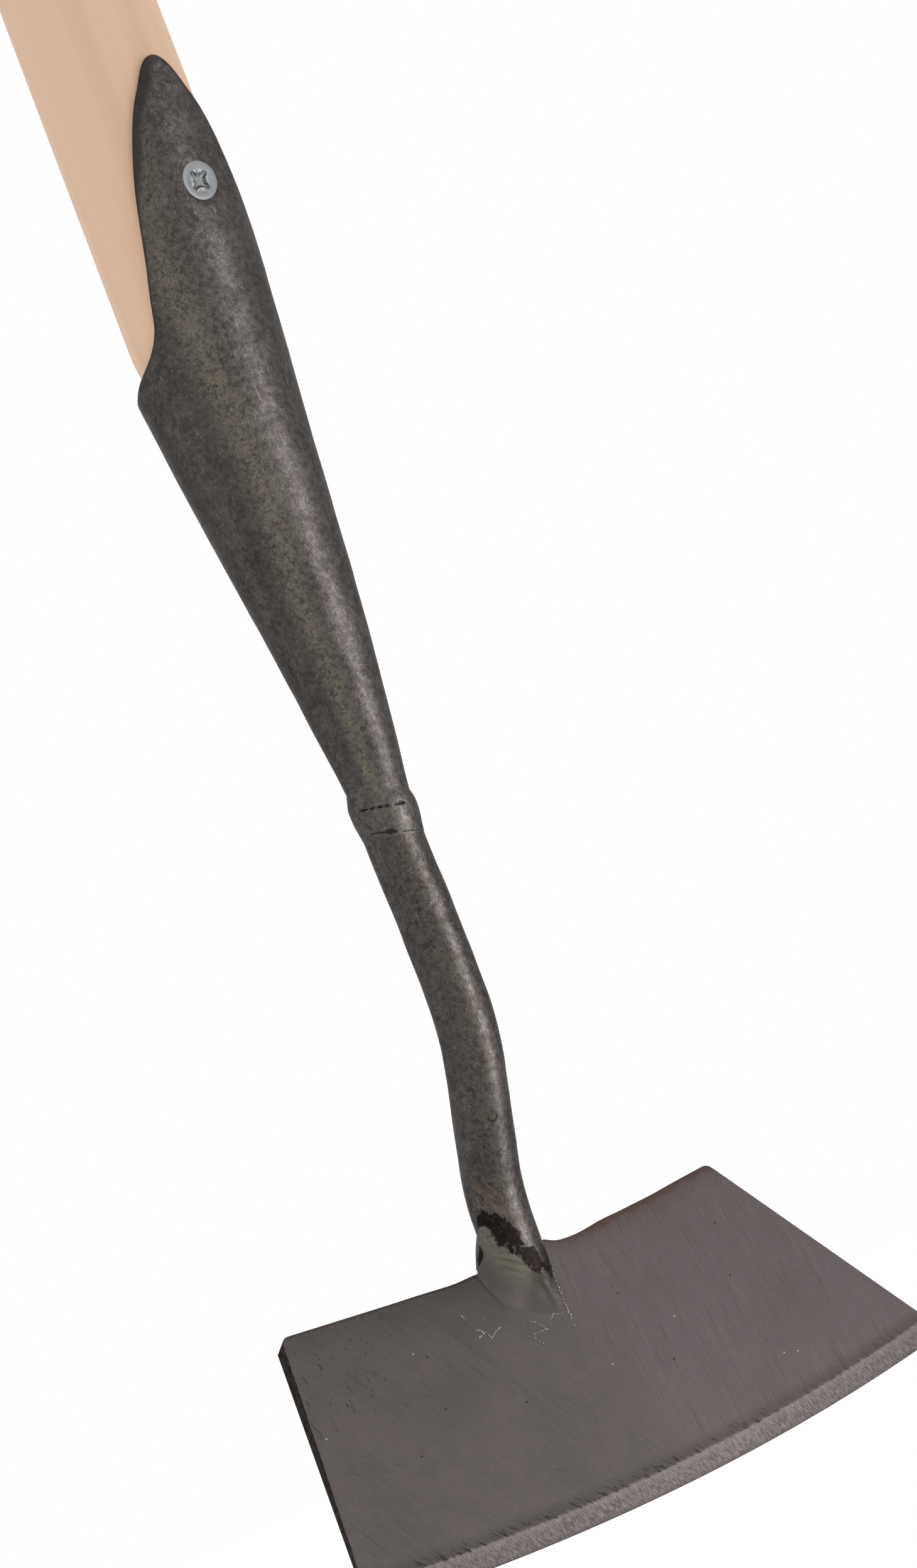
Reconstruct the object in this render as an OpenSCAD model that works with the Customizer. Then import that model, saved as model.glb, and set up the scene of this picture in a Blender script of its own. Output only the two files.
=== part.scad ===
// Dutch hoe: a sharpened plate on a bent round neck, welded to a forged socket whose tongue is
// screwed to a long ash handle.
// Millimetres. The handle stands along Z with the blade at the bottom, the face of the blade looks
// towards -Y, and the origin is in the middle of the grip.

/* [Handle] */
// Length of the handle, from its turned end in the socket to its rounded top
handle_length = 1500; // [1000:10:1800]
// Diameter of the handle above the socket
handle_d = 36; // [32:0.5:40]
// Diameter of the turned end of the handle, deep in the socket
handle_end_d = 15; // [12:0.5:17]
// Depth of the handle in the socket, below the back rim
handle_depth = 70; // [55:1:80]
// Height above the back rim at which the handle starts to narrow
seat_rise = 7; // [4:0.5:12]
// Parallel length of the handle above the back rim, past the tongue
shank_length = 160; // [110:5:250]
// Diameter of the grip
grip_d = 30; // [26:0.5:32]
// Length of the parallel grip
grip_length = 500; // [300:10:600]
// Rounding of the handle's top
top_round = 9; // [4:0.5:12]

/* [Socket] */
// Length of the socket, from its nose to its back rim
socket_length = 115; // [100:1:140]
// Diameter of the socket's nose
nose_d = 12.4; // [11:0.1:13.6]
// How far the back rim stands proud of the handle
rim_stand = 0.95; // [0.6:0.05:1.5]
// How far the taper swells past a straight cone at its middle
fullness = 0.4; // [0:0.05:1]
// Thickness of the tongue
tongue_t = 3; // [2.5:0.1:4]
// Length of the tongue above the back rim
tongue_length = 70; // [60:1:85]
// Angle between the slanted cut and the handle's axis
cut_angle = 11.3; // [9:0.1:13]
// Radius of the hollow where the slanted cut runs into the rim
hollow_r = 12; // [6:0.5:16]
// Width of the rolled seam at the back
seam_w = 0.8; // [0.5:0.1:2]
// Turn of the socket about the handle, as welded
socket_turn = 4.5; // [-10:0.5:10]
// Gap between pieces that fit in each other
fit_gap = 0.1; // [0.05:0.05:0.3]

/* [Screw] */
// Diameter of the screw's shank
screw_d = 4.6; // [4:0.1:5]
// Diameter of the countersunk head
head_d = 9.5; // [8.5:0.1:10]
// Length of the screw
screw_length = 30; // [25:1:34]
// Distance of the screw below the tip of the tongue
screw_inset = 33; // [28:1:38]
// Depth of the head's face below the crown of the tongue
head_sink = 0.25; // [0:0.05:0.4]
// Width of each arm of the cross recess
recess_w = 1.2; // [0.8:0.1:1.6]
// Span of the cross recess
recess_span = 4.6; // [3:0.1:5.4]
// Depth of the cross recess
recess_depth = 1.8; // [1:0.1:2]

/* [Neck] */
// Diameter of the neck
neck_d = 13.8; // [12.8:0.1:16]
// Straight length below the socket
neck_straight = 42; // [30:0.5:60]
// Angle of the first bend, towards the back
first_bend = 24; // [16:0.5:30]
// Radius of the first bend
first_bend_r = 46; // [35:1:70]
// Straight length between the bends
middle_straight = 22.5; // [15:0.5:40]
// Angle of the second bend, towards the front
second_bend = 20; // [12:0.5:24]
// Radius of the second bend
second_bend_r = 34; // [25:1:60]
// Straight length above the blade
end_straight = 10.7; // [6:0.1:15]

/* [Blade] */
// Width of the blade at its front corners
blade_w = 160.5; // [130:0.5:190]
// Width of the blade at its back corners
back_w = 122; // [100:0.5:140]
// Depth of the blade, from the neck to the middle of the cutting edge
blade_depth = 66.4; // [50:0.2:85]
// Distance of the back corners behind the neck's axis
back_set = 4.2; // [3:0.1:5.5]
// How far the back edge dips forward at its middle
back_dip = 5.7; // [3:0.1:7]
// How far the cutting edge bows forward of its corners
edge_bow = 5.5; // [2:0.1:10]
// Angle between the sole of the blade and the handle's axis
blade_angle = 35; // [28:0.5:45]
// Thickness of the blade at the back
blade_t = 3; // [2.4:0.1:4]
// Thickness of the blade where the bevel would start
front_t = 1.6; // [1.2:0.1:2]
// Width of the ground bevel
bevel_w = 5.8; // [3:0.1:9]
// Thickness left at the cutting edge
edge_t = 0.35; // [0.2:0.05:0.6]
// Rounding of the back corners
back_corner_r = 3; // [1:0.5:6]

/* [Welds] */
// Length of the weld collar between socket and neck
collar_length = 10.5; // [8:0.5:14]
// How far the weld collar stands proud of the neck
collar_stand = 1; // [0.5:0.1:1.5]
// Width of the blade weld across the blade
weld_w = 21; // [18:0.5:26]
// Length of the blade weld along the blade
weld_length = 20; // [16:0.5:21]
// Distance of the blade weld's middle in front of the neck's axis, along the blade
weld_set = 3.5; // [3:0.5:5]
// Height of the blade weld up the front of the neck
weld_height = 10; // [6:0.5:12]
// How far the top of the blade weld stands proud of the neck's front
weld_stand = 0.5; // [0.3:0.1:1]
// Height of the blade weld's underside above the sole
weld_lift = 0.3; // [0.2:0.05:0.8]

/* [Hidden] */
$fn = 128;

forged = [0.24, 0.22, 0.21];
ground_steel = [0.42, 0.4, 0.4];
weld_metal = [0.36, 0.34, 0.31];
ash = [0.84, 0.7, 0.57];
zinc = [0.66, 0.67, 0.68];

// Heights are measured from the nose of the socket, and lowered to the grip when drawn
rim_z = socket_length;
tip_z = rim_z + tongue_length;
handle_end_z = rim_z - handle_depth;
handle_top_z = handle_end_z + handle_length;
grip_top_z = handle_top_z - top_round;
grip_low_z = grip_top_z - grip_length;
grip_middle_z = (grip_low_z + grip_top_z) / 2;
shank_top_z = rim_z + shank_length;
seat_z = rim_z + seat_rise;
screw_z = tip_z - screw_inset;

handle_r = handle_d / 2;
grip_r = grip_d / 2;
neck_r = neck_d / 2;
nose_r = nose_d / 2;
rim_r = handle_r + rim_stand;
tongue_in_r = handle_r + fit_gap;
tongue_out_r = tongue_in_r + tongue_t;

// Steps along the smooth curves of the turned profiles
curve_steps = 12;
// Overlap that keeps cutters clear of the faces that they pass
pass = 1;
// How far the ball at each joint of the bar stands proud, and the gap that it fills between run and bend
joint_stand = 0.05;
joint_gap = 0.25;

// Outer radius of the socket between its nose and its rim
function socket_r(z) =
    let (u = z / rim_z)
    nose_r + (rim_r - nose_r) * u + 4 * fullness * u * (1 - u);

// Slope of the socket's side at its rim, and the height at which it would reach the tongue's radius
rim_slope = (rim_r - nose_r - 4 * fullness) / rim_z;
blend_z = rim_z + (tongue_out_r - rim_r) / rim_slope;

// Point on the smooth curve from the rim to the parallel tongue, as radius and height
function tongue_curve(t) =
    let (low = [rim_r, rim_z], knee = [tongue_out_r, blend_z], high = [tongue_out_r, 2 * blend_z - rim_z])
    low * pow(1 - t, 2) + knee * 2 * t * (1 - t) + high * t * t;

// Arc that rounds the corner at c between its neighbours a and b
function rounded(a, c, b, r) =
    let (
        to_a = (a - c) / norm(a - c),
        to_b = (b - c) / norm(b - c),
        half = acos(to_a * to_b) / 2,
        middle = c + (to_a + to_b) / norm(to_a + to_b) * r / sin(half),
        first = c + to_a * r / tan(half) - middle,
        last = c + to_b * r / tan(half) - middle,
        sweep = 180 - 2 * half,
        steps = 6
    )
    [for (i = [0 : steps])
        let (w = i / steps)
        middle + (first * sin((1 - w) * sweep) + last * sin(w * sweep)) / sin(sweep)];

// A point [y, z] turned about the X axis
function turned(p, a) = [p[0] * cos(a) - p[1] * sin(a), p[0] * sin(a) + p[1] * cos(a)];

// End of the neck's axis on the face of the blade, as [y, z]
neck_heading = first_bend - second_bend;
after_first = [0, -neck_straight] + first_bend_r * [1 - cos(first_bend), -sin(first_bend)];
after_middle = after_first + turned([0, -middle_straight], first_bend);
after_second = after_middle + turned(second_bend_r * [cos(second_bend) - 1, -sin(second_bend)], first_bend);
neck_end = after_second + turned([0, -end_straight], neck_heading);

// Circle that the cutting edge is part of, centred behind the blade
edge_r = (pow(blade_w / 2, 2) + pow(edge_bow, 2)) / (2 * edge_bow);
edge_centre = blade_depth - edge_r;
corner_s = blade_depth - edge_bow;

// Lowers what is drawn from the socket's nose to its place below the grip
module below_grip() {
    translate([0, 0, -grip_middle_z]) children();
}

// Frame of the blade: X across it, Y towards the cutting edge, Z from its face down to its sole
module on_blade() {
    translate([0, neck_end[0], neck_end[1]]) rotate([-90 - blade_angle, 0, 0]) children();
}

// Frame of the screw: at the crown of the tongue, Z into the handle
module on_screw() {
    rotate([0, 0, socket_turn])
        translate([0, head_sink - tongue_out_r, screw_z]) rotate([-90, 0, 0]) children();
}

// Solid turned from the screw's outline, larger by a gap all round
module screw_form(gap) {
    head_r = head_d / 2 + gap;
    shank_r = screw_d / 2 + gap;
    rim_h = 0.25;
    cone_h = rim_h + head_r - shank_r;
    point_h = screw_length - screw_d + gap;
    rotate_extrude()
        polygon([[0, 0], [head_r, 0], [head_r, rim_h], [shank_r, cone_h], [shank_r, point_h],
                 [0, screw_length + gap]]);
}

// Turned outline of the handle, from its cone in the socket to its rounded top
module handle() {
    end_chamfer = 1.5;
    end_r = handle_end_d / 2;
    color(ash) below_grip()
        difference() {
            rotate_extrude()
                polygon(concat(
                    [[0, handle_end_z], [end_r - end_chamfer, handle_end_z], [end_r, handle_end_z + end_chamfer],
                     [handle_r, seat_z], [handle_r, shank_top_z], [grip_r, grip_low_z]],
                    [for (i = [0 : curve_steps])
                        let (a = 90 * i / curve_steps)
                        [grip_r - top_round * (1 - cos(a)), grip_top_z + top_round * sin(a)]],
                    [[0, handle_top_z]]));
            on_screw() screw_form(fit_gap);
        }
}

// Side view of what the slanted cut leaves of the socket: the body, the tongue and the hollow between
module mouth_outline() {
    reach = tongue_out_r + pass;
    rise = [-sin(cut_angle), cos(cut_angle)];
    corner = [tongue_length * tan(cut_angle) - tongue_out_r, rim_z];
    run = hollow_r * tan(45 - cut_angle / 2);
    hollow_middle = corner + [run, hollow_r];
    difference() {
        union() {
            translate([-reach, -pass]) square([2 * reach, rim_z + pass]);
            polygon([[-reach, 0], corner, [-tongue_out_r, tip_z], [-reach, tip_z]]);
            polygon([corner + [0, -pass], corner + [run, 0], hollow_middle, corner + run * rise]);
        }
        translate(hollow_middle) circle(r = hollow_r);
    }
}

// Rolled cone with the handle's seat turned out of it and its mouth cut on a slant
module socket() {
    seat_low_z = handle_end_z - fit_gap;
    seat_low_r = handle_end_d / 2 + fit_gap;
    seam_low_z = handle_end_z + seam_w;
    color(forged) below_grip()
        difference() {
            rotate([0, 0, socket_turn])
                difference() {
                    intersection() {
                        rotate_extrude()
                            polygon(concat(
                                [[0, 0]],
                                [for (i = [0 : curve_steps]) let (z = rim_z * i / curve_steps) [socket_r(z), z]],
                                [for (i = [1 : curve_steps]) tongue_curve(i / curve_steps)],
                                [[tongue_out_r, tip_z + pass], [tongue_in_r, tip_z + pass],
                                 [tongue_in_r, seat_z], [seat_low_r, seat_low_z], [0, seat_low_z]]));
                        rotate([90, 0, 90])
                            linear_extrude(height = 3 * tongue_out_r, center = true) mouth_outline();
                    }
                    translate([-seam_w / 2, 0, seam_low_z]) cube([seam_w, tongue_out_r + pass, socket_length]);
                }
            on_screw() {
                screw_form(fit_gap);
                translate([0, 0, -pass]) cylinder(h = pass, d = head_d + 2 * fit_gap);
            }
        }
}

// Countersunk wood screw with a cross recess
module screw() {
    color(zinc) below_grip() on_screw()
        difference() {
            screw_form(0);
            for (a = [0, 90])
                rotate([0, 0, a + 45])
                    translate([-recess_w / 2, -recess_span / 2, -pass])
                        cube([recess_w, recess_span, recess_depth + pass]);
        }
}

// A bend of the bar that starts downwards at the origin and turns towards the back
module elbow(radius, angle) {
    translate([0, radius, 0]) rotate([-90, 0, -90])
        rotate_extrude(angle = angle) translate([radius, 0]) circle(d = neck_d);
}

// A straight run of the bar, downwards from the origin
module run_down(length) {
    translate([0, 0, -length]) cylinder(h = length, d = neck_d);
}

// Frame on the neck's axis at a point [y, z], turned with the bar
module on_neck(point, heading) {
    translate([0, point[0], point[1]]) rotate([heading, 0, 0]) children();
}

// The whole bent bar, run on past the face of the blade, with a ball where each run meets a bend
module neck_bar() {
    run_on = blade_t + neck_d;
    ball_d = neck_d + 2 * joint_stand;
    run_down(neck_straight - joint_gap);
    on_neck([0, -neck_straight], 0) {
        sphere(d = ball_d);
        elbow(first_bend_r, first_bend);
    }
    on_neck(after_first, first_bend) {
        sphere(d = ball_d);
        translate([0, 0, -joint_gap]) run_down(middle_straight - 2 * joint_gap);
    }
    on_neck(after_middle, first_bend) {
        sphere(d = ball_d);
        mirror([0, 1, 0]) elbow(second_bend_r, second_bend);
    }
    on_neck(after_second, neck_heading) {
        sphere(d = ball_d);
        translate([0, 0, -joint_gap]) run_down(end_straight + run_on - joint_gap);
    }
}

// Space under the sole of the blade
module under_sole() {
    side = 2 * blade_w;
    on_blade() translate([-side / 2, -side / 2, blade_t]) cube(side);
}

// Bent bar, notched over the back edge of the blade and dressed flush with its sole
module neck() {
    color(forged) below_grip()
        difference() {
            neck_bar();
            under_sole();
            blade_plate();
        }
}

// Weld ring between the nose of the socket and the top of the neck
module collar_weld() {
    low_z = -collar_length / 2;
    toe = 0.15;
    color(weld_metal) below_grip()
        rotate_extrude()
            polygon(concat(
                [for (i = [0 : curve_steps])
                    let (u = i / curve_steps, z = low_z + u * collar_length)
                    [max(neck_r, socket_r(max(z, 0))) + toe + (collar_stand - toe) * sin(180 * u), z]],
                [[socket_r(-low_z), -low_z], [socket_r(0), 0], [neck_r, 0], [neck_r, low_z]]));
}

// Plan of the blade: a dipped back edge, flared sides and a bowed cutting edge
module blade_outline() {
    back = back_w / 2;
    front = blade_w / 2;
    side_run = [front - back, corner_s + back_set];
    past_edge = edge_bow / side_run[1];
    right_back = [back, -back_set];
    right_front = right_back + side_run * (1 + past_edge);
    dip = [0, back_dip - back_set];
    half = concat([dip], rounded(dip, right_back, right_front, back_corner_r), [right_front]);
    intersection() {
        polygon(concat(half, [for (i = [len(half) - 1 : -1 : 1]) [-half[i][0], half[i][1]]]));
        translate([0, edge_centre]) circle(r = edge_r, $fn = 720);
    }
}

// Plate that thins towards the front, with the bevel ground on its face
module blade_plate() {
    fall = (blade_t - front_t) / (blade_depth + back_set);
    bevel_top = fall * (blade_depth + back_set - bevel_w);
    bevel_low = blade_t - edge_t;
    bevel_slope = (bevel_low - bevel_top) / bevel_w;
    bevel_in = edge_r - bevel_w - (bevel_top + pass) / bevel_slope;
    on_blade()
        difference() {
            linear_extrude(height = blade_t) blade_outline();
            rotate([90, 0, 90])
                linear_extrude(height = 2 * blade_w, center = true)
                    polygon([[-back_set, 0], [-back_set, -pass], [2 * blade_depth, -pass],
                             [2 * blade_depth, fall * (2 * blade_depth + back_set)]]);
            translate([0, edge_centre, 0])
                rotate_extrude($fn = 720)
                    polygon([[bevel_in, -pass], [edge_r + pass, -pass],
                             [edge_r + pass, bevel_low + bevel_slope * pass]]);
        }
}

module blade() {
    color(ground_steel) below_grip() blade_plate();
}

// Ground weld: a fan up the front of the neck that spreads over the face and the back edge of the blade
module blade_weld() {
    top_r = 0.9 * neck_r;
    top_t = 0.3;
    color(weld_metal) below_grip()
        difference() {
            hull() {
                on_blade() translate([0, weld_set, 0])
                    linear_extrude(height = blade_t - weld_lift)
                        scale([weld_w / 2, weld_length / 2]) circle(r = 1, $fn = 32);
                on_neck(neck_end, neck_heading)
                    translate([0, top_r - neck_r - weld_stand, weld_height]) cylinder(h = top_t, r = top_r, $fn = 32);
            }
            neck_bar();
            blade_plate();
        }
}

handle();
socket();
screw();
neck();
collar_weld();
blade();
blade_weld();
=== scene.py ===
"""Dutch hoe: the finished pieces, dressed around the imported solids."""
import math

import bpy
import numpy as np
from mathutils import Matrix, Vector, noise


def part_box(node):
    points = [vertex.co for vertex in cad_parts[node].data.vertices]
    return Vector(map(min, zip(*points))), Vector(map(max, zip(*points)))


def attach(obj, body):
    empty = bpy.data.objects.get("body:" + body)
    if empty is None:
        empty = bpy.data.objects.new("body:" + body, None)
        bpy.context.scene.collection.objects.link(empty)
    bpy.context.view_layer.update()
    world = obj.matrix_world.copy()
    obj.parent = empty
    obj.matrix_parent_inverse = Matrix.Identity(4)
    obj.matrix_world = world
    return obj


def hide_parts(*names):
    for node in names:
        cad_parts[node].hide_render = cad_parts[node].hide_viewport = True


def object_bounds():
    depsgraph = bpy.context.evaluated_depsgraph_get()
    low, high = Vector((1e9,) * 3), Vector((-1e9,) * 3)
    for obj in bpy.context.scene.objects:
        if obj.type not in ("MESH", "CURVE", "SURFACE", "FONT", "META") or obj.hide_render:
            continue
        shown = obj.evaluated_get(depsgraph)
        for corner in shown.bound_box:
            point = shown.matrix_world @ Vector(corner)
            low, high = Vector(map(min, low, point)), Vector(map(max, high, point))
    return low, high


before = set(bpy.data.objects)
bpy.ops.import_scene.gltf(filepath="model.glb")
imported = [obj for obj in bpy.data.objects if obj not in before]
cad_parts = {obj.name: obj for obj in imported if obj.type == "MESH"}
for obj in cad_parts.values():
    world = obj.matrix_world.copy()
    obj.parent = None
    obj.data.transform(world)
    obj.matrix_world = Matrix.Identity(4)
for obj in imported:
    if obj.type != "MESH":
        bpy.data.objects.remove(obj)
CAD_BOX = [list(corner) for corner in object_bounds()]

bl_info = {
    "name": "Dutch hoe",
    "version": (1, 0, 0),
    "blender": (4, 5, 0),
    "location": "3D View > Sidebar > Hoe",
    "description": "Builds the pieces of a dutch hoe and its studio",
    "category": "Add Mesh",
}

MM = 0.001
MERGE = 2e-6
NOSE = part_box("socket")[0].z
BLADE_LOW, BLADE_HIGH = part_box("blade")


def length(label, words, value):
    """A property that holds a length in metres."""
    return bpy.props.FloatProperty(name=label, description=words, default=value, unit="LENGTH", precision=5)


def angle(label, words, degrees):
    """A property that holds an angle."""
    value = math.radians(degrees)
    return bpy.props.FloatProperty(name=label, description=words, default=value, subtype="ANGLE")


def colour(label, words, value):
    """A property that holds a linear colour."""
    return bpy.props.FloatVectorProperty(
        name=label, description=words, default=value, subtype="COLOR", min=0, max=1
    )


class HoeSizes(bpy.types.PropertyGroup):
    """Sizes that the pieces share."""

    handle_d: length("Handle", "Diameter of the handle above the socket", 36 * MM)
    grip_d: length("Grip", "Diameter of the grip", 30 * MM)
    handle_end_d: length("Handle end", "Diameter of the handle deep in the socket", 15 * MM)
    handle_depth: length("Handle depth", "Depth of the handle below the socket's back rim", 70 * MM)
    handle_length: length("Handle length", "Length of the whole handle", 1500 * MM)
    shank_length: length("Shank", "Parallel length above the back rim", 160 * MM)
    grip_length: length("Grip length", "Parallel length of the grip", 500 * MM)
    top_round: length("Top rounding", "Rounding of the handle's top", 9 * MM)
    socket_length: length("Socket", "Length from the nose to the back rim", 115 * MM)
    nose_d: length("Nose", "Diameter of the socket's nose", 12.4 * MM)
    rim_stand: length("Rim", "How far the back rim stands proud of the handle", 1.1 * MM)
    tongue_t: length("Tongue thickness", "Thickness of the tongue", 3 * MM)
    tongue_length: length("Tongue", "Length of the tongue above the back rim", 70 * MM)
    cut_angle: angle("Cut", "Angle between the slanted cut and the axis", 11.3)
    hollow_r: length("Hollow", "Radius where the slanted cut meets the rim", 12 * MM)
    head_d: length("Screw head", "Diameter of the screw's head", 9.5 * MM)
    screw_height: length("Screw height", "Height of the screw above the nose", 152 * MM)
    neck_d: length("Neck", "Diameter of the neck", 13.8 * MM)
    neck_straight: length("Upper run", "Straight length below the socket", 42 * MM)
    first_bend: angle("First bend", "Bend towards the back", 24)
    first_bend_r: length("First radius", "Radius of the first bend", 46 * MM)
    middle_straight: length("Middle run", "Straight length between the bends", 22.5 * MM)
    second_bend: angle("Second bend", "Bend towards the front", 20)
    second_bend_r: length("Second radius", "Radius of the second bend", 34 * MM)
    end_straight: length("Lower run", "Straight length above the blade", 10.7 * MM)
    blade_angle: angle("Blade angle", "Angle between the sole and the handle", 35)
    blade_w: length("Blade", "Width at the front corners", BLADE_HIGH.x - BLADE_LOW.x)
    back_w: length("Blade back", "Width at the back corners", 122 * MM)
    blade_depth: length("Blade depth", "From the neck's axis to the middle of the edge", 66.4 * MM)
    back_set: length("Back corners", "How far they lie behind the neck's axis", 4.2 * MM)
    back_dip: length("Back dip", "How far the back edge dips at its middle", 5.7 * MM)
    edge_bow: length("Edge bow", "How far the cutting edge bows forward", 5.5 * MM)
    blade_t: length("Blade thickness", "Thickness at the back", 3 * MM)
    front_t: length("Front thickness", "Thickness at the front, before the bevel", 1.6 * MM)
    bevel_w: length("Bevel", "Width of the ground bevel", 4.4 * MM)
    edge_t: length("Cutting edge", "Thickness left at the edge", 0.35 * MM)
    corner_r: length("Back corner", "Rounding of the back corners", 2.2 * MM)
    collar_length: length("Collar", "Length of the weld collar", 10.5 * MM)
    collar_stand: length("Collar stand", "How far the collar stands proud", 0.8 * MM)


class HoeFinish(bpy.types.PropertyGroup):
    """Colours of the finishes."""

    ash: colour("Ash", "Bare ash wood", (0.674, 0.455, 0.323))
    ash_dark: colour("Ash streaks", "Darker streaks along the grain", (0.585, 0.37, 0.245))
    forged: colour("Forged steel", "Blackened, rubbed steel", (0.096, 0.086, 0.081))
    forged_dark: colour("Forge scale", "Darkest scale", (0.037, 0.032, 0.030))
    # Olive paints oiled patches, and in the socket's streak at -36 degrees a painted reflection
    olive: colour("Olive", "Oiled, yellowed patches", (0.148, 0.131, 0.099))
    fleck: colour("Flecks", "Bare steel showing through", (0.27, 0.262, 0.255))
    blade: colour("Blade", "Ground blade steel", (0.106, 0.090, 0.090))
    blade_worked: colour("Worked blade", "Blade steel dressed beside the weld", (0.099, 0.086, 0.084))
    bevel: colour("Bevel", "Freshly ground bevel", (0.122, 0.105, 0.105))
    rust: colour("Rust", "Brown rust along the back edge", (0.075, 0.047, 0.038))
    burnt: colour("Burnt scale", "Scale burnt by welding", (0.013, 0.010, 0.009))
    zinc: colour("Zinc", "Plating of the screw", (0.152, 0.156, 0.16))


def fresh():
    """Object mode with nothing selected."""
    if bpy.context.mode != "OBJECT":
        bpy.ops.object.mode_set(mode="OBJECT")
    bpy.ops.object.select_all(action="DESELECT")


def points_of(piece):
    """The places of a piece's points, one row each."""
    places = np.empty(len(piece.data.vertices) * 3)
    piece.data.vertices.foreach_get("co", places)
    return places.reshape(-1, 3)


def put_points(piece, places):
    """Moves a piece's points."""
    piece.data.vertices.foreach_set("co", np.ascontiguousarray(places).ravel())
    piece.data.update()


def mark(piece, name, values):
    """Keeps one number for each point, for a material to read."""
    layer = piece.data.attributes.new(name, "FLOAT", "POINT")
    layer.data.foreach_set("value", np.ascontiguousarray(values, dtype=np.float32))


def eased(low, high, value):
    """Smooth rise from 0 at low to 1 at high."""
    t = np.clip((value - low) / (high - low), 0, 1)
    return t * t * (3 - 2 * t)


def lumps(places, size, seed):
    """Smooth random heights between -1 and 1, with lumps of about this size."""
    shift = Vector((seed, 2.3 * seed, -1.7 * seed))
    return np.array([noise.noise(Vector(p) / size + shift) for p in places])


def sealed(piece):
    """Merges the points that meet at seams and poles and turns the faces outwards."""
    bpy.context.view_layer.objects.active = piece
    bpy.ops.object.mode_set(mode="EDIT")
    bpy.ops.mesh.select_all(action="SELECT")
    bpy.ops.mesh.remove_doubles(threshold=MERGE)
    bpy.ops.mesh.normals_make_consistent(inside=False)
    bpy.ops.object.mode_set(mode="OBJECT")


def blank(columns, rows):
    """A flat grid, with the column and row of each of its points."""
    fresh()
    bpy.ops.mesh.primitive_grid_add(x_subdivisions=columns, y_subdivisions=rows, size=1)
    piece = bpy.context.object
    flat = points_of(piece)
    column = np.rint((flat[:, 0] + 0.5) * columns).astype(int)
    row = np.rint((flat[:, 1] + 0.5) * rows).astype(int)
    return piece, column, row


def turned(stations, sides):
    """A closed body turned about Z through stations of height and radius."""
    fresh()
    height, radius = stations[0]
    bpy.ops.mesh.primitive_circle_add(
        vertices=sides, radius=radius, location=(0, 0, height), fill_type="NGON"
    )
    bpy.ops.object.transform_apply(location=True)
    piece = bpy.context.object
    bpy.ops.object.mode_set(mode="EDIT")
    bpy.ops.mesh.select_all(action="SELECT")
    for top, wide in stations[1:]:
        bpy.ops.mesh.extrude_region_move(TRANSFORM_OT_translate={"value": (0, 0, top - height)})
        grow = wide / radius
        bpy.ops.transform.resize(value=(grow, grow, 1), center_override=(0, 0, top))
        height, radius = top, wide
    bpy.ops.mesh.select_all(action="SELECT")
    bpy.ops.mesh.normals_make_consistent(inside=False)
    bpy.ops.object.mode_set(mode="OBJECT")
    return piece


def cut_away(piece, cutter):
    """Takes a cutter's shape out of a piece."""
    fresh()
    cut = piece.modifiers.new("cut", "BOOLEAN")
    cut.operation = "DIFFERENCE"
    cut.solver = "EXACT"
    cut.object = cutter
    piece.select_set(True)
    bpy.context.view_layer.objects.active = piece
    bpy.ops.object.modifier_apply(modifier=cut.name)
    bpy.data.objects.remove(cutter)


def dressed(piece, name, node, coats, crease=35):
    """Names, smooths and paints a piece and sets it in the frame."""
    fresh()
    piece.name = name
    piece.data.name = name
    piece.select_set(True)
    bpy.context.view_layer.objects.active = piece
    bpy.ops.object.shade_smooth_by_angle(angle=math.radians(crease))
    piece.data.materials.clear()
    for coat in coats:
        piece.data.materials.append(coat)
    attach(piece, "root")
    if node:
        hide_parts(node)


def neck_foot(sizes):
    """Point where the neck's axis meets the blade's face."""
    first = sizes.first_bend
    last = first - sizes.second_bend
    y = sizes.first_bend_r * (1 - math.cos(first)) + sizes.middle_straight * math.sin(first)
    z = -sizes.neck_straight - sizes.first_bend_r * math.sin(first) - sizes.middle_straight * math.cos(first)
    y += sizes.second_bend_r * (math.cos(last) - math.cos(first)) + sizes.end_straight * math.sin(last)
    z += sizes.second_bend_r * (math.sin(last) - math.sin(first)) - sizes.end_straight * math.cos(last)
    return (0, y, NOSE + z)


def blade_frame(sizes):
    """Foot of the neck, and the ways across the blade, along it and up from its face, one row each."""
    slope = sizes.blade_angle
    along = (0, -math.sin(slope), -math.cos(slope))
    up = (0, -math.cos(slope), math.sin(slope))
    return np.array(neck_foot(sizes)), np.array([(1, 0, 0), along, up])


def face_height(sizes, s):
    """Height of the blade's face at a distance along it: it falls towards the edge."""
    fall = (sizes.blade_t - sizes.front_t) / (sizes.blade_depth + sizes.back_set)
    return -fall * (s + sizes.back_set)


def screw_frame(sizes):
    """Frame of the screw: at its head's face, Z into the handle."""
    turn = Matrix.Rotation(math.radians(4.5), 4, "Z")
    sunk = 0.75 * MM
    out = sizes.handle_d / 2 + sizes.tongue_t - sunk
    place = Matrix.Translation((0, -out, NOSE + sizes.screw_height))
    return turn @ place @ Matrix.Rotation(math.radians(12) - math.pi / 2, 4, "X")


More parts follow.
